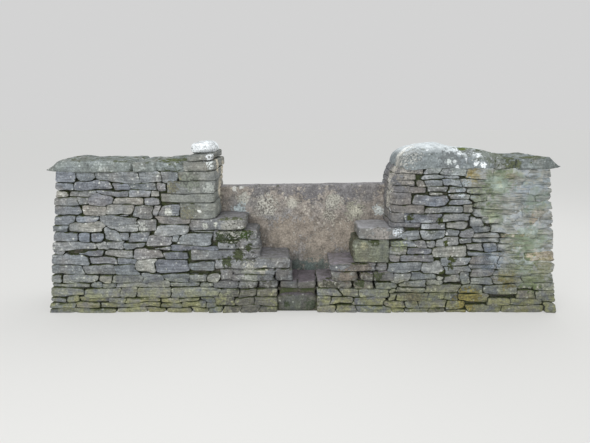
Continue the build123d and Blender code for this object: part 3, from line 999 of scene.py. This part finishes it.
left_jamb_stone = weathered_stone(
    "pale_worn_sandstone_jamb", ("7d807a", "868882", "787a76", "8b8c84"), contrast=0.9, lichen=0.25,
    crusts="a9aba3", dots=(22, 0.12), moss=0.2,
    patches=[
        (-0.69, -0.22, 1.22, 0.05, "cdd1d2", 0.6), (-0.69, -0.25, 1.17, 0.04, "c6cbc9", 0.6),
        (-0.71, -0.24, 1.00, 0.050, "a5a9a4", 0.8), (-0.85, -0.24, 0.83, 0.060, "72756a", 0.6),
        (-0.93, -0.24, 1.07, 0.05, "74735f", 0.5), (-0.99, -0.24, 1.00, 0.05, "7b7965", 0.5),
        (-0.90, -0.24, 0.80, 0.06, "797766", 0.45), (-0.79, -0.25, 0.82, 0.014, "dfe2dc", 1.6),
        (-0.69, -0.26, 0.89, 0.013, "e2e6e6", 1.6), (-0.86, -0.24, 1.06, 0.08, "7b8076", 0.6),
        # the cream patches at -0.66, on the side that faces the gap, are painted highlight
        (-0.66, 0.10, 0.85, 0.08, "cbc3b0", 0.6), (-0.66, 0.00, 0.97, 0.08, "cbc3b0", 0.7),
        (-0.66, 0.15, 1.08, 0.09, "cbc3b0", 0.7), (-0.66, -0.10, 1.16, 0.07, "cbc3b0", 0.7),
    ],
)
build_jamb(-1, "left", left_jamb_stone, 0.030, (0.75, 0.5))

right_jamb_stone = weathered_stone(
    "worn_sandstone_jamb", ("6b6a6c", "737273", "636365", "797877"), contrast=1.0, lichen=0.3,
    crusts="a8a69c", moss=0.3,
    patches=[
        (0.668, -0.12, 0.940, 0.024, "d3d6d0", 1.5), (0.672, -0.16, 0.960, 0.016, "c9ccc8", 1.4),
        # the large cream patches at 0.66 to 0.72, on the side that faces the gap, are painted
        # highlight; the small white ones are lichen
        (0.668, -0.19, 0.820, 0.022, "d6d9d8", 1.5), (0.69, -0.12, 1.02, 0.09, "b8b5ae", 0.9),
        (0.695, -0.10, 1.130, 0.040, "c9c4b8", 1.0), (0.66, -0.10, 0.88, 0.09, "aeaba1", 0.8),
        (0.72, -0.12, 1.12, 0.09, "b4b0a7", 0.8), (0.80, -0.24, 1.10, 0.10, "93908a", 0.7),
    ],
)
build_jamb(1, "right", right_jamb_stone, 0.070, (0.6, 0.15))


# The slab
# One upright flag of sandstone, let into both piers. Its face is weathered into a mottle of pale
# lichen on brown stone, its foot is green with damp, and its top edge is worn round and pale by
# everyone who has climbed over it.

slab_stone = weathered_stone(
    "mottled_sandstone_slab", ("938c85", "938c85"), contrast=1.1, beds=0.1, lichen=0.55,
    crusts="aeaa9d", dots=(30, 0.35), moss=0.1, damp_and_shade=(0.40, "6b6a64"),
    tread_wear_and_highlight=(0.85, "6f6e72", "8f8e92"),
    patches=[
        (-0.15, 0.06, 0.55, 0.16, "988f84", 1.2), (0.15, 0.06, 0.48, 0.16, "988f84", 1.2),
        (0.36, 0.06, 0.56, 0.14, "988f84", 1.2), (0.02, 0.06, 0.61, 0.11, "938a80", 1.0),
        (-0.36, 0.06, 0.62, 0.10, "928a81", 1.0), (0.10, 0.06, 0.36, 0.10, "8c857b", 0.9),
        (-0.34, 0.06, 0.94, 0.09, "7b7979", 0.9), (-0.12, 0.06, 0.95, 0.08, "7e7b7b", 0.9),
        (0.08, 0.06, 0.945, 0.11, "787677", 0.9), (0.34, 0.06, 0.94, 0.12, "797778", 0.9),
        (0.56, 0.06, 0.95, 0.09, "7d7a79", 0.9), (-0.49, 0.06, 0.86, 0.055, "b1b0a8", 0.9),
        (-0.56, 0.06, 0.95, 0.030, "c4c4c0", 0.8), (-0.50, 0.06, 0.965, 0.022, "c4c4c0", 0.8),
        (-0.30, 0.06, 0.80, 0.10, "b2b0a7", 0.55), (-0.09, 0.06, 0.83, 0.05, "b4b1a7", 0.9),
        (0.26, 0.06, 0.84, 0.07, "aaa89e", 0.7), (0.44, 0.06, 0.76, 0.08, "a9a799", 0.7),
        (0.22, 0.06, 0.73, 0.06, "aca99e", 0.5), (0.633, 0.06, 0.767, 0.05, "c3c7c4", 0.8),
        (-0.52, 0.06, 0.765, 0.06, "b3bdbf", 0.8), (-0.06, 0.06, 0.28, 0.07, "6e7772", 0.9),
        (0.06, 0.06, 0.27, 0.07, "697470", 1.0), (0.16, 0.06, 0.28, 0.06, "6f7772", 0.9),
    ],
)
slab = block(
    (-0.7275, 0.7275), (0.060, 0.200), (0.0, 0.9725), seed=301, rounding=0.030, arris=0.026,
    around=220, levels=34, slope=0.0175, lean=(False, False), bedding=0.0025, rough=0.007,
    seam_earth_and_shade=(0.0, 0.0), tint=0.5, settled=0.15,
)
make_piece("slab_flag", [slab], [slab_stone], ["slab"])


# The foothold
# A rounded foot stone at the bottom, and on it the thin threshold stone on which the walker
# stands, hollowed and always muddy. Between them lies a dark, deep joint.

# the dark grey tints of the foot stone and the threshold are painted shade of their low place; the
# tread colours are mud
foothold_stone = weathered_stone(
    "muddy_sandstone_foothold", ("5c5c59", "5e5d59"), contrast=0.9, lichen=0.1, dots=(26, 0.1),
    moss=0.3, damp_and_shade=(0.2, "555b4b"), tread_wear_and_highlight=(1.0, "605b60", "776f75"),
    patches=[
        (-0.12, -0.27, 0.075, 0.030, "3f4736", 0.9), (0.08, -0.27, 0.06, 0.05, "4d5446", 0.9),
    ],
)
FRONT = -HALF_THICKNESS
foot = block(
    (-0.202, 0.112), (FRONT + 0.002, SLAB_FACE), (0.0, 0.152), seed=311, rounding=0.06,
    arris=0.050, rough=0.010, tint=0.5, skew=0.014, slope=0.006,
)
foot_wedge = block(
    (-0.198, 0.108), (FRONT + 0.050, SLAB_FACE), (0.120, 0.194), seed=312, rough=0.014
)
foot_wedge["material"] = 1
foot_earth = packed((-0.206, 0.113), (-0.206, 0.113), 0.0, 0.12, SLAB_FACE)
foot = [foot, foot_wedge, foot_earth]
make_piece("foot_stone_rough", foot, [foothold_stone, packing], ["foot_stone"])
threshold = [
    block(
        span, (FRONT + 0.002, SLAB_FACE), (0.194, 0.258), seed=seed, rounding=0.02, arris=0.018,
        rough=0.007, dish=0.008, tint=tint, skew=0.018,
    )
    for seed, tint, span in ((321, 0.9, (-0.188, -0.034)), (322, 0.2, (-0.036, 0.108)))
]
make_piece("threshold_stone_worn", threshold, [foothold_stone], ["threshold_stone"])


# The steps of the left side
# Flat stones stacked against the slab, each tailed into the pier or held down by the next. The
# top one is clean, the two low ones are muddy from boots, and moss hangs from the joints.

left_step_stone = weathered_stone(
    "mossy_sandstone_steps_left", ("747677", "7a7c7c", "6c6d6f", "818383"), lichen=0.4, moss=0.75,
    # the damp colour is darkened to paint shadow low down as well as algae
    damp_and_shade=(0.34, "5f5e52"), tread_wear_and_highlight=(0.8, "727075", "908e93"),
    patches=[
        (-0.63, -0.25, 0.625, 0.050, "3b4330", 1.2), (-0.55, -0.25, 0.640, 0.078, "2e3523", 1.4),
        (-0.46, -0.25, 0.650, 0.056, "394827", 1.3), (-0.42, -0.26, 0.530, 0.040, "434a34", 0.9),
        (-0.60, -0.26, 0.420, 0.050, "474e39", 0.8), (-0.75, -0.25, 0.700, 0.030, "b9bcb4", 0.7),
        (-0.67, -0.25, 0.715, 0.022, "bcbeb5", 0.6), (-0.55, -0.26, 0.715, 0.100, "979791", 0.7),
        # the broad dark patch at -0.34 low down is dark earth and painted shadow
        (-0.50, -0.26, 0.465, 0.055, "464c37", 0.9), (-0.34, -0.26, 0.110, 0.160, "5a5955", 0.8),
        (-0.42, -0.26, 0.350, 0.060, "b0b0a6", 0.9), (-0.32, -0.26, 0.352, 0.045, "a8a79c", 0.8),
        (-0.42, -0.26, 0.300, 0.070, "8f928a", 0.7), (-0.16, -0.26, 0.330, 0.060, "6d6c6a", 0.7),
    ],
)
# what the stones of the steps have in common
STEP_LOOK = {"rounding": 0.024, "arris": 0.013, "rough": 0.007, "bedding": 0.005}


def build_steps(material, flight):
    """The levels of a flight, each with its seed and its stones side by side, as deep as the space
    in front of the slab. A stone is its left, right, bottom and top, and what it differs in."""
    for label, (seed, stones) in flight.items():
        made = []
        for number, (left, right, low, high, differs) in enumerate(stones):
            settings = {**STEP_LOOK, "around": 84, "skew": 0.014, **differs}
            back = settings.pop("back", SLAB_FACE)
            made.append(block((left, right), (FRONT, back), (low, high), seed + number, **settings))
        make_piece(label + "_rough", made, [material], [label])


def foot_course(label, face, ends, stones, material, seed):
    """The lowest course of a flight: stones bonded with the pier's face, packing behind them, and
    on them a row of blocks as deep as the space in front of the slab."""
    made = [
        chosen_stones(face, 0.0, 0.26, 0.0, PIER_START),
        packed(ends, ends, 0.0, FOOT_TOP, SLAB_FACE),
    ]
    for number, (left, right, low, high) in enumerate(stones):
        span = (left, right), (FRONT, SLAB_FACE), (low, high)
        row = block(*span, seed + number, skew=0.016, **STEP_LOOK)
        row["material"] = 2
        made.append(row)
    make_piece(label + "_stones", made, [walling_stone, packing, material], [label])


left_foot = [
    (-0.698, -0.520, 0.200, 0.259), (-0.516, -0.344, 0.202, 0.258), (-0.340, -0.190, 0.199, 0.258),
]
foot_course("left_foot_course", left_front, (-0.66, -0.24), left_foot, left_step_stone, 400)
build_steps(left_step_stone, {
    "left_low_bearer": (420, [
        (-0.658, -0.560, 0.262, 0.355, {"rounding": (0.008, 0.024)}),
        (-0.556, -0.215, 0.262, 0.312, {}),
        (-0.556, -0.215, 0.314, 0.356, {}),
        (-0.211, -0.092, 0.263, 0.356, {"rounding": 0.022}),
    ]),
    "left_low_step": (430, [
        (-0.692, -0.372, 0.359, 0.438, {"rounding": (0.008, 0.02)}),
        (-0.368, -0.102, 0.361, 0.450, {"rounding": 0.03, "arris": 0.018, "dish": 0.004}),
    ]),
    "left_middle_bearer": (440, [
        (-0.888, -0.640, 0.434, 0.522, {"back": -0.08}),
        (-0.664, -0.332, 0.441, 0.521, {"slope": 0.004}),
    ]),
    "left_middle_step": (450, [
        (-0.658, -0.500, 0.526, 0.590, {"rounding": (0.008, 0.024)}),
        (-0.496, -0.346, 0.524, 0.600, {}),
        (-0.698, -0.364, 0.594, 0.664, {"rounding": (0.010, 0.028)}),
    ]),
    "left_top_step": (460, [
        (-0.8625, -0.452, 0.668, 0.757, {"arris": 0.016, "rounding": 0.03, "slope": 0.004}),
    ]),
})


# The steps of the right side
# The same, but the second rise is one tall squared block, green with algae, under a wide top
# step whose tread is scuffed grey.

right_step_stone = weathered_stone(
    "mossy_sandstone_steps_right", ("6c6b69", "747371", "676767", "7a7875"), lichen=0.35, moss=0.75,
    tread_wear_and_highlight=(0.95, "7c7679", "99939a"),
    patches=[
        (0.58, -0.26, 0.300, 0.05, "474d38", 0.6), (0.45, -0.26, 0.255, 0.04, "444b36", 0.8),
        # the dark patch at 0.22 low by the threshold is painted shadow
        (0.22, -0.26, 0.200, 0.08, "56564c", 0.8), (0.45, -0.26, 0.375, 0.09, "756f67", 0.7),
        (0.33, -0.26, 0.310, 0.06, "7e766c", 0.7),
    ],
)
right_block_stone = weathered_stone(
    "algae_green_sandstone_block", ("727569", "727569"), contrast=0.9, beds=1.6, lichen=0.3,
    moss=0.3, damp_and_shade=(0.9, "6d7057"),
    patches=[
        (0.55, -0.25, 0.580, 0.035, "4d5537", 0.9), (0.47, -0.26, 0.550, 0.030, "8e8d77", 0.8),
        # the dark patch on the block's left side is damp and painted shade
        (0.38, -0.10, 0.510, 0.130, "605f50", 0.9),
    ],
)
right_tread_stone = weathered_stone(
    "scuffed_sandstone_tread", ("7a7975", "7a7975"), lichen=0.5, moss=0.2, beds=0.3,
    tread_wear_and_highlight=(0.95, "979699", "acacaf"),
    patches=[
        (0.735, -0.25, 0.655, 0.05, "ccd2d6", 0.6), (0.60, -0.25, 0.620, 0.09, "94908b", 0.8),
    ],
)
right_foot = [(0.112, 0.380, 0.198, 0.258), (0.384, 0.560, 0.197, 0.258)]
foot_course("right_foot_course", right_front, (0.15, 0.66), right_foot, right_step_stone, 500)
hollowed = {"rounding": 0.03, "arris": 0.016, "dish": 0.004, "skew": 0.016}
build_steps(right_step_stone, {
    "right_low_bearer": (520, [
        (0.232, 0.440, 0.264, 0.341, {"rounding": 0.03, "skew": 0.016}),
        (0.444, 0.560, 0.264, 0.330, {}),
        (0.564, 0.699, 0.264, 0.341, {"rounding": (0.024, 0.008)}),
    ]),
    "right_low_step": (530, [
        (0.211, 0.560, 0.345, 0.410, hollowed),
        (0.564, 0.656, 0.345, 0.409, {"rounding": (0.024, 0.008)}),
    ]),
})
squared = {"rounding": (0.028, 0.008), "arris": 0.02, "levels": 14, "tint": 0.5}
build_steps(right_block_stone, {"right_step_block": (540, [(0.394, 0.684, 0.414, 0.590, squared)])})
worn = {"rounding": 0.04, "arris": 0.022, "dish": 0.006, "levels": 8, "tint": 0.5}
build_steps(right_tread_stone, {"right_top_step": (550, [(0.428, 0.776, 0.594, 0.691, worn)])})


# Copes, cover stone and head stone
# Flat flags laid along the top of both piers, the last of each a thin three-cornered one that
# oversails the end. At the stile the left pier carries a sloping cover stone and on it a rounded
# head stone, white with lichen.

cope_stone = weathered_stone(
    "mossy_sandstone_copes", ("6e7371", "79807e", "7f8582"), lichen=0.6, crusts="a7adaa", moss=0.38,
    patches=[
        (1.50, -0.16, 1.22, 0.09, "49532c", 0.8), (1.72, -0.15, 1.23, 0.08, "545c36", 0.7),
        (1.56, -0.25, 1.16, 0.06, "6a7058", 0.7), (-0.98, -0.10, 1.20, 0.12, "525b33", 0.8),
    ],
)
COPE_WIDTH = (-0.248, 0.248)
COPE_LEVELS = {"left": 1.128, "right": 1.153}


def end_cope(side, low, high, seed):
    """The three-cornered last cope: a block whose top rises a little to an apex near its end, and
    from there falls to a thin tip past the wall's end. It is made nearer to the middle, for the
    sake of the noise there, and moved out to where it starts."""
    made_at, start, length = 1.462, 1.588, 0.384
    stone = block(
        sorted((side * made_at, side * (made_at + length))), COPE_WIDTH, (low, high), seed=seed,
        rounding=0.04, arris=0.014, rough=0.006, lean=(False, False), skew=0.02, seam_earth_and_shade=(0.7, 0.0),
    )
    points = stone["points"]
    beyond = (side * points[:, 0] - made_at) / length
    points[:, 0] = side * (start + length * beyond)
    height = (points[:, 2] - low) / (high - low)
    fall = np.clip((beyond - 0.62) / 0.38, 0.0, 1.0)
    apex = np.exp(-(((beyond - 0.58) / 0.14) ** 2))
    points[:, 2] = low + (high - low) * height * (1.0 - 0.85 * fall) + 0.010 * height * apex
    points[:, 1] *= 1.0 - 0.5 * fall
    return stone


COPES = {
    "left": [((-1.592, -1.300), 0.068), ((-1.296, -1.110), 0.060), ((-1.106, -0.905), 0.072)],
    "right": [((1.440, 1.586), 0.070)],
}
for name, low in COPE_LEVELS.items():
    made = [
        block(
            ends, COPE_WIDTH, (low - 0.012, low + thick), seed=600 + number, rounding=0.05,
            arris=0.018, rough=0.008, lean=(False, False), skew=0.03, seam_earth_and_shade=(0.7, 0.0),
        )
        for number, (ends, thick) in enumerate(COPES[name])
    ]
    make_piece(name + "_coping_flags", made, [cope_stone], [name + "_coping"])
for side, (name, low) in zip((-1, 1), COPE_LEVELS.items()):
    tip = end_cope(side, low - 0.014, low + 0.070, 620 + side)
    make_piece(name + "_end_cope_rough", [tip], [cope_stone], [name + "_end_cope"])

cover = block(
    (-0.878, -0.676), (-0.236, 0.236), (1.201, 1.244), seed=631, rounding=0.03, slope=0.010,
    lean=(False, False), rough=0.005, seam_earth_and_shade=(0.8, 0.3),
)
make_piece("left_cover_stone_rough", [cover], [left_jamb_stone], ["left_cover_stone"])
head_stone = weathered_stone(
    "white_lichened_head_stone", ("b4b7b5", "b4b7b5"), lichen=0.8, moss=0.1,
    patches=[
        (-0.77, -0.12, 1.30, 0.14, "dfe3e5", 1.4), (-0.70, -0.16, 1.27, 0.09, "d9dddf", 1.2),
        (-0.74, 0.08, 1.32, 0.13, "d3d8da", 1.0),
    ],
)
head = block(
    (-0.862, -0.676), (-0.164, 0.164), (1.246, 1.322), seed=641, rounding=0.07, arris=0.034,
    lean=(False, False), rough=0.008, seam_earth_and_shade=(0.5, 0.0), tint=0.5, dish=-0.004,
)
make_piece("left_head_stone_lichened", [head], [head_stone], ["left_head_stone"])


# The cap of the right pier
# A smooth, domed mass of lime mortar and stone run over the pier's end and rounded off by hand.
# It carries the shoulder up from the jamb, is painted palest along the crown as a painted
# highlight on what faces up, and is spotted with lichen where it runs down to the copes.

cap_mortar = weathered_stone(
    "smooth_lime_capping", ("838a8b", "838a8b"), contrast=0.8, beds=0.2, lichen=0.5,
    crusts="b9bebc", dots=(20, 0.25), moss=0.1, damp_and_shade=(0.0, "77754e"),
    # the pale tread colours on what faces up are a painted highlight of the light from above
    tread_wear_and_highlight=(0.9, "bfc6c8", "e2e8ea"),
    patches=[
        (0.716, -0.12, 1.174, 0.045, "cfccc2", 1.0), (0.76, -0.08, 1.245, 0.060, "d6d6cf", 1.0),
        (0.82, -0.05, 1.275, 0.060, "e4e6e4", 1.0), (1.032, -0.20, 1.209, 0.018, "c6cac7", 1.3),
        (1.10, -0.20, 1.20, 0.080, "7b8081", 1.1), (0.74, -0.16, 1.18, 0.09, "a3a29c", 0.55),
        (0.80, -0.22, 1.24, 0.08, "acaeaa", 0.5), (1.24, -0.12, 1.26, 0.09, "7d8281", 1.4),
        (1.36, -0.16, 1.23, 0.10, "7e847f", 1.4), (1.48, -0.18, 1.20, 0.10, "757b70", 1.4),
        (1.23, -0.09, 1.285, 0.060, "57622e", 1.3), (1.33, -0.09, 1.268, 0.065, "40482a", 1.3),
        (1.44, -0.06, 1.26, 0.09, "454d31", 1.2), (1.52, -0.12, 1.21, 0.07, "545a3f", 1.0),
        (0.932, -0.19, 1.279, 0.014, "e3e8ea", 1.6), (1.086, -0.23, 1.194, 0.024, "ced5d3", 1.4),
        (1.131, -0.23, 1.194, 0.018, "d7dcdc", 1.5), (1.172, -0.19, 1.253, 0.014, "edf2f4", 1.6),
        (1.216, -0.22, 1.212, 0.016, "e6ebed", 1.6), (1.160, -0.14, 1.280, 0.022, "eef3f6", 1.5),
        (1.315, -0.19, 1.226, 0.030, "eef3f6", 1.5), (1.335, -0.20, 1.205, 0.020, "eef3f6", 1.5),
        (1.290, -0.23, 1.180, 0.024, "e9eef0", 1.5), (1.340, -0.23, 1.175, 0.030, "eef3f6", 1.5),
        (1.150, -0.235, 1.145, 0.020, "e3e8ea", 1.5),
    ],
)


def cap_skin(around=150, rings=30):
    """A dome on a rounded plan, each ring the plan outline drawn in towards the ridge. With t from
    0 at the foot to a quarter turn at the ridge, x and y go by cos(t)^0.8 and the height by
    sin(t)^0.8, so the dome is fuller than an ellipsoid. Its rise falls smoothly from 172 mm at
    the crown to 136 mm towards the copes, and its ragged foot laps over the course below."""
    start, end, half_width, corner = 0.722, 1.560, 0.240, 0.075
    base, ridge, crown, fall = 1.1525, 1.10, 0.172, 0.036
    fall_start, fall_length = 1.03, 0.17
    fullness = 0.8
    counts = (around * np.array([0.37, 0.13, 0.37, 0.13])).astype(int)
    outline, _ = rounded_outline((end - start) / 2, half_width, (corner, corner), counts)
    outline = outline + ((start + end) / 2, 0.0)
    turn = np.linspace(0.0, np.pi / 2, rings)[:-1, None]
    draw = np.cos(turn) ** fullness
    x = ridge + (outline[:, 0] - ridge) * draw
    y = outline[:, 1] * draw
    part = np.clip((x - fall_start) / fall_length, 0.0, 1.0)
    rise = crown - fall * part * part * (3.0 - 2.0 * part)
    z = base + rise * np.sin(turn) ** fullness
    points = np.stack([x, y, z], -1)
    lap = 0.008 + 0.014 * noise(points, (0.08, 0.08, 1.0), 703)
    points[..., 2] -= (1.0 - np.sin(turn)) ** 5 * np.maximum(lap, 0.0)
    lumps = noise(points, 0.11, 701)[..., None] * (0.004, 0.004, 0.005)
    points += lumps + noise(points, 0.03, 702)[..., None] * (0.001, 0.003, 0.0025)
    count = points.shape[1]
    floor = points[0] * (1, 1, 0) + (0, 0, base - 0.002)
    floor = (floor - floor.mean(0)) * 0.93 + floor.mean(0)
    # the foot ring takes earth and painted shade where the cap sits on the pier
    joint = np.concatenate([np.full(count, 0.6), np.zeros(points[..., 0].size + 2)])
    return ringed(np.concatenate([floor[None], points]), 0.5, joint)


make_piece("right_cap_mortar", [cap_skin()], [cap_mortar], ["right_cap"])


# Flush pointing
# The outer half of the right pier was pointed with lime mortar, pressed flush between the stones
# and now blue-grey. It stands a few millimetres behind their faces.


def lime_pointing():
    """Old lime mortar, floated flat and pitted by frost."""
    material, tree, shader = new_material("flush_lime_pointing")
    place = add(tree, "TexCoord", out="Object")
    mark = marked(tree, place)
    tone = add(tree, "MapRange", (mark["cloud"], 0.36, 0.64, 0.66, 1.24))
    coats = [(1.0, tone), *patchwork(tree, place, mark, POINTED_FILMS)]
    colour = coated(tree, lime_colour(tree, mark), coats, "MULTIPLY")
    bump = add(tree, "Bump", {"Strength": 0.7, "Distance": 0.004, "Height": mark["grain"]})
    links = {"Base Color": colour, "Roughness": 0.9, "Specular IOR Level": 0.25, "Normal": bump}
    set_inputs(tree, shader, links)
    return material


pointing_mortar = lime_pointing()


def pointing_skin(columns=110, rows=90):
    """A grid over the pier's face, u along and v up. Its depth is 6 mm behind the face plus
    smooth noise. It falls back past the packing where the pointing fades out, at its left edge
    and low down. The grid is closed behind by the same grid further in."""
    start, foot, top, inset = 1.12, 0.10, 1.145, 0.022
    whole, fade = 1.40, 0.16
    level = np.linspace(foot, top, rows)[:, None] + np.zeros(columns)
    along = start + (face_end(level) - inset - start) * np.linspace(0.0, 1.0, columns)
    flat = np.stack([along, level, 0.0 * along], -1)
    depth = -0.006 + 0.008 * noise(flat, (0.12, 0.022, 1.0), 801) + 0.003 * noise(flat, 0.02, 802)
    lag = POINTING_LAG * np.clip((LAG_TOP - level) / (LAG_TOP - LAG_FOOT), 0.0, 1.0)
    edge = along - lag + 0.16 * noise(flat, (0.16, 0.09, 1.0), 803)
    low = (POINTING_WHOLE - level) / (POINTING_WHOLE - POINTING_FOOT)
    depth -= 0.05 * np.clip(np.maximum((whole - edge) / fade, low), 0.0, 1.0)
    front = on_face(along, level, depth, "front")
    behind = on_face(along, level, np.minimum(depth - 0.002, -0.05), "front")
    points = np.concatenate([front.reshape(-1, 3), behind.reshape(-1, 3)])
    grid = np.arange(rows * columns).reshape(rows, columns)
    quads = np.stack([grid[:-1, :-1], grid[:-1, 1:], grid[1:, 1:], grid[1:, :-1]], -1)
    quads = quads.reshape(-1, 4)
    rim = np.concatenate([grid[0, :-1], grid[:-1, -1], grid[-1, :0:-1], grid[:0:-1, 0]])
    after = np.roll(rim, -1)
    back = rows * columns
    sides = np.stack([after, rim, rim + back, after + back], -1)
    every = np.concatenate([quads, quads[:, ::-1] + back, sides])
    total = len(points)
    return {
        "points": points,
        "corners": every.ravel(),
        "sizes": np.full(len(every), 4),
        "tint": np.full(total, 0.5),
        "joint": np.zeros(total),
    }


make_piece("right_pier_pointing", [pointing_skin()], [pointing_mortar], [])


# Where the object stands and how it is seen
# A plain pale floor in a pale surround, soft light from above and from the front left, and the
# camera at eye height in front of the stile.


def pale_floor():
    """Matt off-white board. The camera sees half of it as its plain colour, so it stays pale
    far from the lamps and still takes the object's shadow."""
    material, tree, shader = new_material("matt_off_white_board")
    set_inputs(tree, shader, {"Base Color": linear("dcdbd8"), "Roughness": 0.9})
    glow = add(tree, "Emission", {"Color": linear("e4e4e2"), "Strength": 1.0})
    seen = add(tree, "LightPath", out="Is Camera Ray")
    half = add(tree, "Math", (seen, 0.55), operation="MULTIPLY")
    mix = add(tree, "MixShader", (half, shader.outputs[0], glow))
    set_inputs(tree, tree.nodes["Material Output"], {"Surface": mix})
    return material


floor_mesh = bpy.data.meshes.new("floor")
floor_mesh.from_pydata([(-40, -40, 0), (40, -40, 0), (40, 40, 0), (-40, 40, 0)], [], [(0, 1, 2, 3)])
floor_mesh.materials.append(pale_floor())
floor = bpy.data.objects.new("floor", floor_mesh)
bpy.context.scene.collection.objects.link(floor)

world = bpy.data.worlds.new("pale_surround")
bpy.context.scene.world = world
world.use_nodes = True
seen = add(world.node_tree, "LightPath", out="Is Camera Ray")
surround = coated(world.node_tree, linear("eef0f2"), [(seen, "e9e9e9")])
links = {"Color": surround, "Strength": 0.80}
set_inputs(world.node_tree, world.node_tree.nodes["Background"], links)

for name, place, target, size, watts in (
    ("high_light", (1.5, 2.0, 5.0), (0.2, 0.0, 0.8), 5.0, 130.0),
    ("front_fill", (-2.0, -5.5, 3.2), (0.0, 0.0, 0.6), 4.0, 210.0),
):
    lamp = bpy.data.lights.new(name, "AREA")
    lamp.size = size
    lamp.energy = watts
    light = bpy.data.objects.new(name, lamp)
    x, y, z = np.array(target) - np.array(place)
    light.location = place
    light.rotation_euler = (math.atan2(math.hypot(x, y), -z), 0.0, math.atan2(-x, y))
    bpy.context.scene.collection.objects.link(light)

# the lens and the downward tilt, worked out from the wall's upright edges in the photograph
SENSOR, FOCAL_PIXELS, PHOTO_PIXELS, TILT = 36.0, 470.0, 590.0, 13.1
camera_data = bpy.data.cameras.new("photo_view")
camera_data.sensor_width = SENSOR
camera_data.lens = SENSOR * FOCAL_PIXELS / PHOTO_PIXELS
camera = bpy.data.objects.new("photo_view", camera_data)
camera.location = (-0.0625, -3.75, 1.556)
camera.rotation_euler = (math.radians(90.0 - TILT), 0.0, 0.0)
bpy.context.scene.collection.objects.link(camera)
bpy.context.scene.camera = camera
bpy.context.scene.view_settings.view_transform = "Standard"
